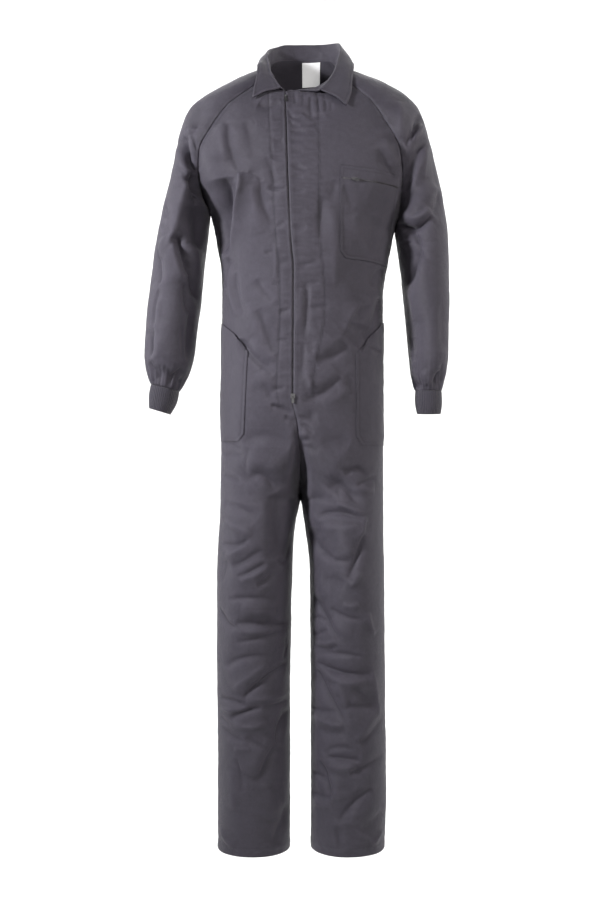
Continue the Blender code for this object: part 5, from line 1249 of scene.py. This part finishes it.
# %% Collar piece
FOLD_HALF = 3.0 * MM
up = np.array([0, 0, 1.0])
sections = []
for c in np.linspace(0, 16, COLLAR_SECTIONS):
    reach = COLLAR.at("reach", c) * neck_length / NECKLINE_LENGTH
    seam = walk_along(neck_line, reach)
    seam = seam + walk_along(neck_line, reach, neck_onward) * COLLAR.at("lift", c) * MM
    seam = seam - walk_along(neck_line, reach, neck_facing) * 0.8 * MM
    roll, edge = COLLAR.point("rx ry rz", c), COLLAR.point("ex ey ez", c)
    out = (edge - roll) * np.array([1, 1, 0])
    out /= np.linalg.norm(out)
    inside = roll - up * FOLD_HALF * 0.8
    outside = roll + out * 2 * FOLD_HALF - up * FOLD_HALF * 0.8
    crown = roll + out * FOLD_HALF + up * FOLD_HALF * 0.3
    middle = (outside + edge) / 2 + (out + up) * 2.5 * MM
    stand = (seam + inside) / 2
    stations = np.array([seam, stand, inside, crown, outside, middle, edge])
    sections.append(through(stations, SECTION_POINTS))
collar_grid = np.array(sections)
collar_normals = grid_normals(collar_grid, collar_grid.reshape(-1, 3).mean(axis=0))
collar_normals /= np.linalg.norm(collar_normals, axis=2)[..., None]
back_roll = (COLLAR_SECTIONS // 2, SECTION_POINTS // 2)
if collar_normals[back_roll][2] < 0:
    collar_normals = -collar_normals
collar_distance = edge_distances(collar_grid)
to_edge = collar_distance["last"]
to_tips = np.minimum(collar_distance["top"], collar_distance["bottom"])
rim = np.minimum(to_edge, to_tips)
collar_relief = 0.5 * MM * ripple(collar_grid, (0.03, 0.03, 0.03), 11)
on_stand = np.exp(-((collar_distance["first"] - 18 * MM) / (10 * MM))**2)
collar_relief += 2.2 * MM * on_stand * ripple(collar_grid, (0.022, 0.022, 0.030), 13)
collar_relief += 0.5 * MM * np.exp(-((rim - 3.0 * MM) / (2.6 * MM))**2)
collar_relief -= 0.5 * MM * np.exp(-((rim - 6.5 * MM) / (1.4 * MM))**2)
collar_relief += 0.35 * MM * ripple(collar_grid, (0.010, 0.010, 0.010), 12, 1) * (rim < 12 * MM)
collar_grid = collar_grid + collar_normals * collar_relief[..., None]
collar_wear_and_shade = wear_and_painted_shade_of(collar_relief, collar_distance, ["last", "top", "bottom"])
bm = grid_mesh(collar_grid, cloth_uv(collar_distance), collar_wear_and_shade + 0.1 * (rim < 3 * MM))
bm.normal_update()
bm.faces.ensure_lookup_table()
if sum(face.normal.dot(Vector(collar_normals[back_roll])) for face in bm.faces
       if (face.calc_center_median() - Vector(collar_grid[back_roll])).length < 10 * MM) < 0:
    bmesh.ops.reverse_faces(bm, faces=bm.faces[:])
collar = wall(finished("collar_cloth", bm, twill), COLLAR_CLOTH)
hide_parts("collar")
print("collar", collar_grid.shape[:2], "area", round(sheet_area(collar_grid), 4), "m2")


# %% [markdown]
# ## Rib cuffs
# A cuff is a short tube of rib knit, narrower than the sleeve, which is gathered into it. The ribs
# stand up outside over a plain inside. A grid is rolled into the tube and its ends are welded,
# then the same faces are extruded inwards, so that the outer ribs don't show on the inside.

# %% Cuffs
CUFF_WALL = 2.4 * MM
CUFF_RIBS = 44
CUFF_RINGS = 15
RIB_HEIGHT = 0.8 * MM
CUFF_SHAPE = {
    RIGHT: Table("v ix iz tx tz y depth", [
        (0, -0.2487, -0.6600, -0.3065, -0.6455, -0.025, 0.0440),
        (1, -0.2545, -0.6830, -0.3095, -0.6700, -0.026, 0.0420),
        (2, -0.2665, -0.7075, -0.3100, -0.6945, -0.027, 0.0350)]),
    LEFT: Table("v ix iz tx tz y depth", [
        (0, 0.2296, -0.6590, 0.2830, -0.6590, -0.025, 0.0440),
        (1, 0.2300, -0.6820, 0.2830, -0.6820, -0.026, 0.0420),
        (2, 0.2330, -0.7060, 0.2810, -0.7060, -0.027, 0.0360)])}


def close_wall(bm, layer, offsets):
    """Closes a sheet into a wall: each vertex gets a partner at the offset of its grid point."""
    grown = bmesh.ops.extrude_face_region(bm, geom=bm.faces[:], use_keep_orig=True)
    for item in grown["geom"]:
        if isinstance(item, bmesh.types.BMVert):
            item.co += Vector(offsets[item[layer]])
    bmesh.ops.recalc_face_normals(bm, faces=bm.faces[:])


def cuff_ring(shape, v, shares):
    """One ring of a cuff and its middle."""
    start, end = shape.point("ix y iz", v), shape.point("tx y tz", v)
    reach = np.array([0, shape.at("depth", v), 0])
    half = len(shares) // 2 + 1
    before = cubic(start, start - reach, end - reach, end, 2 * shares[:half])
    after = cubic(end, end + reach, start + reach, start, 2 * shares[half:] - 1)
    return np.concatenate([before, after]), (start + end) / 2


for side, name in ((RIGHT, "cuff_right"), (LEFT, "cuff_left")):
    shares = np.linspace(0, 1, CUFF_RIBS * 6 + 1)
    ribs = 0.5 - 0.5 * np.cos(2 * np.pi * CUFF_RIBS * shares)
    outer, inner = [], []
    for v in np.linspace(0, 2, CUFF_RINGS):
        ring, centre = cuff_ring(CUFF_SHAPE[side], v, shares)
        arms = ring - centre
        arms /= np.linalg.norm(arms, axis=1)[:, None]
        swell = 0.9 * MM * math.sin(math.pi * min(v, 1.9) / 2)
        edge = 0.5 * MM * (math.exp(-v / 0.08) + math.exp(-(2 - v) / 0.08))
        flat = ring - arms * (RIB_HEIGHT - swell + edge)
        outer.append(flat + arms * (RIB_HEIGHT * ribs**0.7)[:, None])
        inner.append(ring - arms * (CUFF_WALL - swell * 0.5))
    outer, inner = np.array(outer), np.array(inner)
    distance = edge_distances(outer)
    # Lighter on the rib crests than between them: painted shade in the hollows between the ribs.
    bm = grid_mesh(outer, cloth_uv(distance), np.tile(0.25 * ribs, (CUFF_RINGS, 1)))
    layer = bm.verts.layers.int.new("grid_point")
    bm.verts.ensure_lookup_table()
    for i, vertex in enumerate(bm.verts):
        vertex[layer] = i
    bmesh.ops.remove_doubles(bm, verts=bm.verts[:], dist=0.01 * MM)
    close_wall(bm, layer, (inner - outer).reshape(-1, 3))
    made = finished(name + "_knit", bm, knit)
    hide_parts(name)


# %% [markdown]
# ## Patch pockets
# A patch pocket is one ply sewn on the front round three sides. It has to follow the folds under
# it, so it is cut from a copy of the front's own cells: bisect planes trim the copy to the
# pocket's outline, and what is left moves out. It is sunk along its sewn edges and a little loose
# between them, and it gapes along its mouth.

# %% Helpers for patches
PLY = 0.55 * MM             # thickness of a patch
SEWN_LIFT = 0.3 * MM        # of its underside over the front


def trimmed(grid, outline, uv, wear_and_shade=None):
    """A front's cells inside a convex outline of (x, z) corners, anticlockwise from the front."""
    low = min(z for _, z in outline) - 0.02
    high = max(z for _, z in outline) + 0.02
    rows = np.any((grid[..., 2] > low) & (grid[..., 2] < high), axis=1)
    bm = grid_mesh(grid[rows], uv[rows], None if wear_and_shade is None else wear_and_shade[rows])
    corners = [Vector((x, 0, z)) for x, z in outline]
    for start, end in zip(corners, corners[1:] + corners[:1]):
        along = end - start
        away = Vector((along.z, 0, -along.x)).normalized()
        bmesh.ops.bisect_plane(bm, geom=bm.verts[:] + bm.edges[:] + bm.faces[:], plane_co=start,
                               plane_no=away, clear_outer=True)
    bmesh.ops.dissolve_degenerate(bm, dist=0.15 * MM, edges=bm.edges[:])
    bmesh.ops.triangulate(bm, faces=bm.faces[:])
    near = []
    for edge in bm.edges:
        middle = (edge.verts[0].co + edge.verts[1].co) / 2
        if min(line_distance(middle.x, middle.z, *side)[0]
               for side in zip(outline, outline[1:] + outline[:1])) < 11 * MM:
            near.append(edge)
    bmesh.ops.subdivide_edges(bm, edges=near, cuts=1, use_grid_fill=True)
    bmesh.ops.triangulate(bm, faces=bm.faces[:])
    bm.normal_update()
    if sum(face.normal.y * face.calc_area() for face in bm.faces) > 0:
        bmesh.ops.reverse_faces(bm, faces=bm.faces[:])
        bm.normal_update()
    return bm


def line_distance(x, z, start, end):
    """How far (x, z) lies from the line between two points, and its place along it."""
    along = np.array(end) - np.array(start)
    offset = np.array([x, z]) - np.array(start)
    share = min(max(float(offset @ along) / float(along @ along), 0.0), 1.0)
    return float(np.linalg.norm(offset - share * along)), share


def raise_patch(bm, outline, sewn, loose, mouth, gape):
    """Moves a trimmed patch out: low along its sewn sides, loose between, open at the mouth."""
    rubbed_and_shaded = bm.verts.layers.float["wear_and_shade"]
    moves = []
    for vertex in bm.verts:
        x, z = vertex.co.x, vertex.co.z
        sides = [line_distance(x, z, outline[i], outline[(i + 1) % len(outline)]) for i in sewn]
        edge = min(distance for distance, _ in sides)
        free = 1 - math.exp(-(edge / (14 * MM))**2)
        ply = 0.2 * MM * math.exp(-((edge - 2.5 * MM) / (2.5 * MM))**2)
        groove = 0.28 * MM * math.exp(-((edge - 6.5 * MM) / (1.3 * MM))**2)
        wave = noise.fractal(Vector((x, vertex.co.y, z)) / 0.035, 0.6, 2.0, 2)
        pucker = noise.fractal(Vector((x, 7.0, z)) / 0.010, 0.6, 2.0, 1)
        rise = SEWN_LIFT + free * (loose + 0.8 * MM * wave) + ply - groove
        rise += 0.25 * MM * (1 + pucker) * math.exp(-edge / (9 * MM))
        # A paler rubbed band by the folded edge, and painted shade along the two stitch lines.
        sunk = sum(math.exp(-((edge - d * MM) / (1.3 * MM))**2) for d in (0.5, 6.5))
        vertex[rubbed_and_shaded] += 0.15 * math.exp(-((edge - 3.5 * MM) / (1.8 * MM))**2) - 0.35 * sunk
        if mouth:
            distance, share = line_distance(x, z, *mouth)
            bow = math.sin(math.pi * share) ** 0.6
            rise += gape * bow * math.exp(-(distance / (17 * MM))**2)
            rise += 0.5 * MM * math.exp(-((distance - 2.5 * MM) / (2.5 * MM))**2)
            vertex[rubbed_and_shaded] += 0.25 * math.exp(-(distance / (2.0 * MM))**2)
        moves.append(vertex.normal.copy() * rise)
    for vertex, move in zip(bm.verts, moves):
        vertex.co += move


def patch_piece(name, side, outline, sewn, loose, mouth=None, gape=0.0):
    """A whole patch on a front, which stands for the CAD node of the same name."""
    front = "front_right" if side == RIGHT else "front_left"
    bm = trimmed(grids[front], outline, cloth_uv(distances[front]),
                 0.8 * wear_and_painted_shade_of(reliefs[front], distances[front], []))
    raise_patch(bm, outline, sewn, loose, mouth, gape)
    surface = BVHTree.FromBMesh(bm)
    area = sum(face.calc_area() for face in bm.faces)
    made = wall(finished(name + "_cloth", bm, twill), PLY, 1.0)
    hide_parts(name)
    print(made.name, "area", round(area * 1e4, 1), "cm2")
    return surface


# %% Hip pockets
HIP_CORNERS = {
    RIGHT: {"side_bottom": (0.200, -0.762), "bottom": (0.126, -0.762),
            "inner_bottom": (0.1143, -0.7475), "inner_top": (0.1064, -0.586),
            "mouth_start": (0.131, -0.549), "mouth_end": (0.1607, -0.523),
            "side_top": (0.200, -0.490)},
    LEFT: {"side_bottom": (0.200, -0.770), "bottom": (0.118, -0.770),
           "inner_bottom": (0.1065, -0.7520), "inner_top": (0.1061, -0.590),
           "mouth_start": (0.1340, -0.553), "mouth_end": (0.1640, -0.520),
           "side_top": (0.200, -0.482)}}
surfaces = {}
outlines = {}
for side, name in ((RIGHT, "hip_pocket_right"), (LEFT, "hip_pocket_left")):
    outline = [(side * x, z) for x, z in HIP_CORNERS[side].values()]
    sewn = [0, 1, 2]
    if side == LEFT:
        outline.reverse()
        sewn = [3, 4, 5]
    top = HIP_CORNERS[side]["inner_top"]
    end = HIP_CORNERS[side]["mouth_end"]
    mouth = ((side * top[0], top[1] + 0.01), (side * (end[0] - 0.004), end[1]))
    gape = (2.7 if side == RIGHT else 2.2) * MM
    surfaces[name] = patch_piece(name, side, outline, sewn, 0.9 * MM, mouth, gape)
    outlines[name] = outline

# %% Chest pocket, in a band and a bag with the zip between them
POCKET = {"left": 0.0745, "right": 0.1935, "top_left": -0.2225, "top_right": -0.2337,
          "zip_left": -0.2490, "zip_right": -0.2580}
HALF_ZIP = 1.0 * MM
band_outline = [(POCKET["left"], POCKET["zip_left"] + HALF_ZIP),
                (POCKET["right"], POCKET["zip_right"] + HALF_ZIP),
                (POCKET["right"] + 0.001, POCKET["top_right"]),
                (POCKET["left"] + 0.001, POCKET["top_left"])]
bag_outline = [(0.0851, -0.4047), (0.173, -0.4085),
               (POCKET["right"], POCKET["zip_right"] - HALF_ZIP),
               (POCKET["left"], POCKET["zip_left"] - HALF_ZIP), (POCKET["left"] - 0.001, -0.391)]
surfaces["chest_pocket_band"] = patch_piece("chest_pocket_band", LEFT, band_outline, [1, 2, 3],
                                            0.3 * MM)
surfaces["chest_pocket_bag"] = patch_piece("chest_pocket_bag", LEFT, bag_outline, [0, 1, 3, 4],
                                           1.0 * MM)


# %% [markdown]
# ## Zips
# The front zip is closed, with its two tapes sewn behind the fronts and its teeth in the narrow
# gap between them. A moulded tooth is a small block with its nose towards the other side, and the
# teeth of the two sides take turns. One tooth is bevelled once and copied along the line.

# %% Tapes behind the fronts
TAPE_WIDTH = 12.0 * MM
zip_rows = int(np.sum(rows_of["front"] <= 1.70))
edges_of_zip = {}
for side, name in ((RIGHT, "right"), (LEFT, "left")):
    grid = grids["front_" + name][:zip_rows]
    facing = normals["front_" + name][:zip_rows]
    inside = grid - facing * (CLOTH + 0.6 * MM)
    reaches = np.linspace(0, TAPE_WIDTH, 7)
    tape_grid = np.array([[walk_along(row, reach) for reach in reaches] for row in inside])
    bm = grid_mesh(tape_grid, cloth_uv(edge_distances(tape_grid)))
    outward(bm, tape_grid.reshape(-1, 3).mean(axis=0) + (0, 0.2, 0))
    made = wall(finished("front_zip_tape_%s_weave" % name, bm, tape_weave), 0.8 * MM)
    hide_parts("front_zip_tape_" + name)
    edges_of_zip[side] = grid[:, 0]
zip_centres = (edges_of_zip[RIGHT] + edges_of_zip[LEFT]) / 2
zip_out = normals["front_right"][:zip_rows, 0] + normals["front_left"][:zip_rows, 0]
zip_out[:, 0] = 0
zip_out /= np.linalg.norm(zip_out, axis=1)[:, None]
for k in range(3):
    padded = np.pad(zip_centres[:, k], 6, mode="edge")
    zip_centres[:, k] = np.convolve(padded, np.ones(13) / 13, mode="valid")
print("front zip", round(float(lengths(zip_centres)[-1]), 3), "m long")


# %% Teeth
def tooth_mesh(length, width, thickness):
    """One bevelled tooth: X towards the other side, Y along the zip, Z out."""
    bm = bmesh.new()
    bmesh.ops.create_cube(bm, size=1.0)
    bmesh.ops.scale(bm, vec=(length, width, thickness), verts=bm.verts[:])
    nose = [vertex for vertex in bm.verts if vertex.co.x > 0]
    bmesh.ops.scale(bm, vec=(1, 0.62, 0.85), verts=nose)
    upper = [edge for edge in bm.edges if all(vertex.co.z > 0 for vertex in edge.verts)]
    bmesh.ops.bevel(bm, geom=upper, offset=width * 0.16, segments=1, profile=0.5, material=-1,
                    affect="EDGES")
    mesh = bpy.data.meshes.new("one_tooth")
    bm.to_mesh(mesh)
    bm.free()
    return mesh


def row_of_teeth(name, centres, outs, pitch, length, width, thickness, sink):
    """Teeth from both sides of a line, taking turns, sunk below it."""
    one = tooth_mesh(length, width, thickness)
    count = int(lengths(centres)[-1] / pitch)
    bm = bmesh.new()
    for k in range(2 * count):
        reach = (k / 2 + 0.5) * pitch
        here = Vector(walk_along(centres, reach))
        ahead = Vector(walk_along(centres, reach + pitch))
        out = Vector(walk_along(centres, reach, outs)).normalized()
        along = (here - ahead).normalized()
        across = along.cross(out).normalized() * (1 if k % 2 else -1)
        along = out.cross(across)
        first = len(bm.verts)
        bm.from_mesh(one)
        bm.verts.ensure_lookup_table()
        centre = here - across * length * 0.32 - out * sink
        for vertex in bm.verts[first:]:
            x, y, z = vertex.co
            vertex.co = centre + across * x + along * y + out * z
    bpy.data.meshes.remove(one)
    made = finished(name, bm, dark_metal)
    made.data.shade_flat()
    print(name, 2 * count, "teeth")
    return made


teeth = row_of_teeth("front_zip_teeth", zip_centres, zip_out, 2.3 * MM, 2.7 * MM, 1.25 * MM,
                     1.5 * MM, 2.3 * MM)
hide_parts("front_zip_chain")

# %% Chest zip
chest = [(0.03, -0.45), (0.20, -0.45), (0.20, -0.20), (0.03, -0.20)]
front_surface = BVHTree.FromBMesh(trimmed(grids["front_left"], chest,
                                          cloth_uv(distances["front_left"])))


def on_surface(surface, x, z):
    """The point of a surface straight behind (x, z), and its normal towards the front."""
    point, normal = surface.ray_cast(Vector((x, -1, z)), Vector((0, 1, 0)))[:2]
    if point is None:
        point, normal = surface.find_nearest(Vector((x, -0.12, z)))[:2]
    return point, normal if normal.y < 0 else -normal


start, end = POCKET["left"] + 4 * MM, POCKET["right"] - 3 * MM
slope = (POCKET["zip_right"] - POCKET["zip_left"]) / (POCKET["right"] - POCKET["left"])
spots = [on_surface(front_surface, x, POCKET["zip_left"] + slope * (x - POCKET["left"]))
         for x in np.linspace(start, end, 60)]
chest_line = np.array([point for point, _ in spots])
chest_out = np.array([normal for _, normal in spots])
teeth = row_of_teeth("chest_zip_teeth", chest_line, chest_out, 2.0 * MM, 2.4 * MM, 1.1 * MM,
                     1.2 * MM, -0.7 * MM)
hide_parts("chest_zip_chain")
for node in ("front_zip_slider_top", "front_zip_slider_bottom", "front_zip_pull_top",
             "front_zip_pull_bottom", "chest_zip_slider", "chest_zip_pull"):
    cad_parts[node].data.materials.clear()
    # The bottom slider and the chest zip get the darker nickel, painted shade.
    metal = dark_shaded_nickel if node.startswith("chest") else shaded_nickel if "bottom" in node else nickel
    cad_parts[node].data.materials.append(metal)
print("nickel on sliders and pulls")

# %% [markdown]
# ## Neck label
# A woven satin label, left bare, sewn flat inside the back neck along its top edge. Its satin has
# a faint painted glow.

# %% Label
inside = grids["back_upper"] - normals["back_upper"] * CLOTH
label_outline = [(0.001, -0.009), (0.0375, -0.006), (0.0385, 0.037), (0.0005, 0.038)]
bm = trimmed(inside, label_outline, cloth_uv(distances["back_upper"]))
for vertex in bm.verts:
    droop = min(max((0.030 - vertex.co.z) / 0.04, 0.0), 1.0)
    lift = 0.7 * MM + 1.1 * MM * droop * (1 + 0.6 * math.sin(vertex.co.x * 160))
    vertex.co += Vector((0, -1, 0)) * lift
area = sum(face.calc_area() for face in bm.faces)
label = wall(finished("neck_label_satin", bm, satin), 0.5 * MM, 1.0)
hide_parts("neck_label")
print("label", round(area * 1e4, 1), "cm2")


# %% [markdown]
# ## Sewing
# The raglan, waist and seat seams are topstitched with two rows and the others with one. The hems,
# the pockets, the collar edge and the facing beside the zip have their own lines. A stitch is a
# short arc of thread that dips into the cloth at both ends. One curve object holds all the
# stitches of a piece, because a curve with a round bevel makes thread with very few faces.

# %% Stitch helpers
STITCH = 3.1 * MM           # from one stitch to the next
THREAD = 0.27 * MM          # radius


def sew(name, lines):
    """Stitches along lines of (points, normals), as one curve object."""
    data = bpy.data.curves.new(name, "CURVE")
    data.dimensions = "3D"
    data.bevel_depth = THREAD
    data.bevel_resolution = 0
    data.use_fill_caps = True
    total = 0
    for points, facing in lines:
        points, facing = np.asarray(points), np.asarray(facing)
        reached = lengths(points)
        count = int(reached[-1] / STITCH)
        starts = (np.arange(count)[:, None] + np.array([0.10, 0.46, 0.82])) * STITCH
        dips = np.array([-0.5, 0.9, -0.5]) * THREAD
        for stitch in starts:
            spline = data.splines.new("POLY")
            spline.points.add(2)
            for target, reach, dip in zip(spline.points, stitch, dips):
                spot = [np.interp(reach, reached, points[:, k]) + dip * np.interp(reach, reached,
                        facing[:, k]) for k in range(3)]
                target.co = (*spot, 1)
        total += count
    data.materials.append(thread)
    made = bpy.data.objects.new(name, data)
    scene.collection.objects.link(made)
    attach(made, "suit")
    print(name, total, "stitches")


def beside(name, edge, distance, first=0.0, last=1.0):
    """A line along an edge of a cut piece, a distance inside it, with its normals."""
    grid, facing = grids[name], normals[name]
    if edge in ("top", "bottom"):
        grid, facing = np.swapaxes(grid, 0, 1), np.swapaxes(facing, 0, 1)
    if edge in ("last", "bottom"):
        grid, facing = grid[:, ::-1], facing[:, ::-1]
    rows = len(grid)
    chosen = range(int(first * (rows - 1)), int(last * (rows - 1)) + 1)
    points = [walk_along(grid[i, :30], distance) for i in chosen]
    outs = [walk_along(grid[i, :30], distance, facing[i, :30]) for i in chosen]
    return points, outs


def drawn(surface, corners, lift=0.0):
    """A line through (x, z) corners, laid on a surface seen from the front."""
    points, outs = [], []
    for (x1, z1), (x2, z2) in zip(corners, corners[1:]):
        count = max(2, int(math.hypot(x2 - x1, z2 - z1) / (3 * MM)))
        for share in np.linspace(0, 1, count, endpoint=False):
            point, normal = on_surface(surface, x1 + (x2 - x1) * share, z1 + (z2 - z1) * share)
            points.append(point + normal * lift)
            outs.append(normal)
    return points, outs


# %% Seams and hems
for side in ("right", "left"):
    front, back, sleeve = "front_" + side, "back_lower_" + side, "sleeve_" + side
    shoulder = len(shoulder_rows) / len(rows_of["front"])
    lines = [beside(front, "last", d, 0.0, shoulder) for d in (2.0 * MM, 8.0 * MM)]
    lines += [beside(front, "last", 2.0 * MM, shoulder, 1.0)]
    lines += [beside(front, "bottom", HEM_BAND)]
    fork = (len(rows_of["front"]) - len(leg_rows)) / len(rows_of["front"])
    lines += [beside(front, "first", 2.0 * MM, fork, 1.0)]
    lines += [beside(front, "first", 3.5 * MM, 0.0, (zip_rows - 2) / len(rows_of["front"]))]
    sew("stitches_" + front, lines)
    lines = [beside(back, "first", d) for d in (2.0 * MM, 8.0 * MM)]
    lines += [beside(back, "bottom", HEM_BAND), beside(back, "top", 2.0 * MM)]
    lines += [beside(back, "last", 2.0 * MM)]
    sew("stitches_" + back, lines)
    share = len(shoulder_rows) / len(rows_of["sleeve"])
    sew("stitches_" + sleeve, [beside(sleeve, "last", 2.0 * MM, 0.0, share),
                               beside(sleeve, "bottom", 3.0 * MM)])
share = len(shoulder_rows) / len(rows_of["back_upper"])
lines = [beside("back_upper", edge, d, 0.0, share) for edge in ("first", "last")
         for d in (2.0 * MM, 8.0 * MM)]
lines += [beside("back_upper", "bottom", d) for d in (2.0 * MM, 8.0 * MM)]
sew("stitches_back_upper", lines)

# %% Collar edge
collar_surface_points = np.array([walk_along(row[::-1], 6.0 * MM) for row in collar_grid[2:-2]])
collar_surface_outs = np.array([walk_along(row[::-1], 6.0 * MM, out[::-1])
                                for row, out in zip(collar_grid[2:-2], collar_normals[2:-2])])
sew("stitches_collar", [(collar_surface_points, collar_surface_outs)])

# %% Facing and pockets
front_trees = {}
for side in ("right", "left"):
    bm = grid_mesh(grids["front_" + side])
    front_trees[side] = BVHTree.FromBMesh(bm)
    bm.free()
facing_right = [(-0.0648, -0.1029), (-0.0599, -0.2033), (-0.0532, -0.3597), (-0.0449, -0.505),
                (-0.0484, -0.6542), (-0.0451, -0.6873), (-0.0217, -0.6912)]
facing_left = [(0.0341, -0.110), (0.0341, -0.2299), (0.034, -0.4139), (0.0484, -0.4875),
               (0.0212, -0.6562)]
sew("stitches_facing", [drawn(front_trees["right"], facing_right),
                        drawn(front_trees["left"], facing_left)])


def inset_line(outline, sides, distance):
    """The line at a distance inside some sides of a convex outline."""
    corners = []
    count = len(outline)
    for i in [sides[0]] + [side + 1 for side in sides]:
        before, here, after = (np.array(outline[(i + k) % count]) for k in (-1, 0, 1))
        first, second = (here - before), (after - here)
        n1 = np.array([-first[1], first[0]]) / np.linalg.norm(first)
        n2 = np.array([-second[1], second[0]]) / np.linalg.norm(second)
        bend = (n1 + n2) / (1 + float(n1 @ n2))
        corners.append(tuple(here + bend * distance))
    return corners


outlines.update(chest_pocket_bag=bag_outline, chest_pocket_band=band_outline)
pocket_seams = [    # pocket, sides of its outline, how far inside them, and which corners
    ("hip_pocket_right", [1, 2], 1.8, np.s_[:]), ("hip_pocket_right", [1, 2], 6.5, np.s_[:]),
    ("hip_pocket_left", [3, 4], 1.8, np.s_[:]), ("hip_pocket_left", [3, 4], 6.5, np.s_[:]),
    ("hip_pocket_right", [3, 4, 5], 5.0, np.s_[:3]), ("hip_pocket_left", [0, 1, 2], 5.0, np.s_[1:]),
    ("chest_pocket_bag", [3, 4, 0], 1.8, np.s_[:]), ("chest_pocket_bag", [3, 4, 0], 6.5, np.s_[:]),
    ("chest_pocket_bag", [2], 2.2, np.s_[:]), ("chest_pocket_band", [0], 2.2, np.s_[:]),
    ("chest_pocket_band", [2], 1.8, np.s_[:])]
sew("stitches_pockets", [drawn(surfaces[name], inset_line(outlines[name], sides, d * MM)[part], PLY)
                         for name, sides, d, part in pocket_seams])


# %% [markdown]
# ## Floor and light
# A pale floor bends up into the wall behind it. A small lamp on the viewer's left draws the folds
# from the side, two softer ones in front and on the right open the shadows, and three wide lamps
# are aimed at the backdrop and the floor.

# %% Floor
FLOOR = -2.1
bm = bmesh.new()
bmesh.ops.create_grid(bm, x_segments=1, y_segments=1, size=4.5)
bmesh.ops.translate(bm, vec=(0, 0, FLOOR), verts=bm.verts[:])
back_edge = [edge for edge in bm.edges if all(v.co.y > 4.0 for v in edge.verts)]
raised = bmesh.ops.extrude_edge_only(bm, edges=back_edge)["geom"]
bmesh.ops.translate(bm, vec=(0, 0, 9.0),
                    verts=[v for v in raised if isinstance(v, bmesh.types.BMVert)])
corner = [edge for edge in bm.edges if all(v.co.y > 4.0 and v.co.z < FLOOR + 1 for v in edge.verts)]
bmesh.ops.bevel(bm, geom=corner, offset=1.4, segments=16, profile=0.5, material=-1, affect="EDGES")
bmesh.ops.recalc_face_normals(bm, faces=bm.faces[:])
floor_mesh = bpy.data.meshes.new("studio_floor")
bm.to_mesh(floor_mesh)
bm.free()
floor_mesh.shade_smooth()
floor = bpy.data.objects.new("studio_floor", floor_mesh)
scene.collection.objects.link(floor)
pale, tree, shader = shader_of("pale_floor", Roughness=0.9, Specular_IOR_Level=0.1)
shader.inputs["Base Color"].default_value = (0.93, 0.93, 0.93, 1)
floor_mesh.materials.append(pale)
print("floor at", FLOOR)

# %% Light
def soft_light(name, energy, size, place_at, aim, colour=(1, 1, 1), spread=180):
    """A square soft light that looks at a point; a narrow spread dims it beside its aim."""
    data = bpy.data.lights.new(name, "AREA")
    data.energy = energy
    data.size = size
    data.color = colour
    data.spread = math.radians(spread)
    made = bpy.data.objects.new(name, data)
    made.location = place_at
    made.rotation_euler = (Vector(aim) - Vector(place_at)).to_track_quat("-Z", "Y").to_euler()
    scene.collection.objects.link(made)
    return made


soft_light("key", 17.5, 0.4, (-2.55, -1.5, 0.35), (0.0, 0, -0.52), (0.97, 0.965, 1.0), 64)
soft_light("fill", 9, 1.0, (1.0, -2.9, 0.0), (0, 0, -0.50), (1.0, 0.96, 0.94), 100)
soft_light("side_fill", 8, 0.8, (2.7, -1.3, 0.4), (0, 0, -0.50), (1.0, 0.96, 0.94), 80)
soft_light("backdrop_left", 130, 2.5, (-2.9, 1.2, 1.6), (-0.9, 4.4, 0.2))
soft_light("backdrop_right", 130, 2.5, (2.9, 1.2, 1.6), (0.9, 4.4, 0.2))
soft_light("floor_light", 70, 2.5, (0, 2.4, 1.6), (0, 2.6, -2.1))
world = bpy.data.worlds.new("studio")
world.use_nodes = True
world.node_tree.nodes["Background"].inputs["Color"].default_value = (1, 1, 1, 1)
world.node_tree.nodes["Background"].inputs["Strength"].default_value = 0.05
scene.world = world
scene.view_settings.view_transform = "Standard"
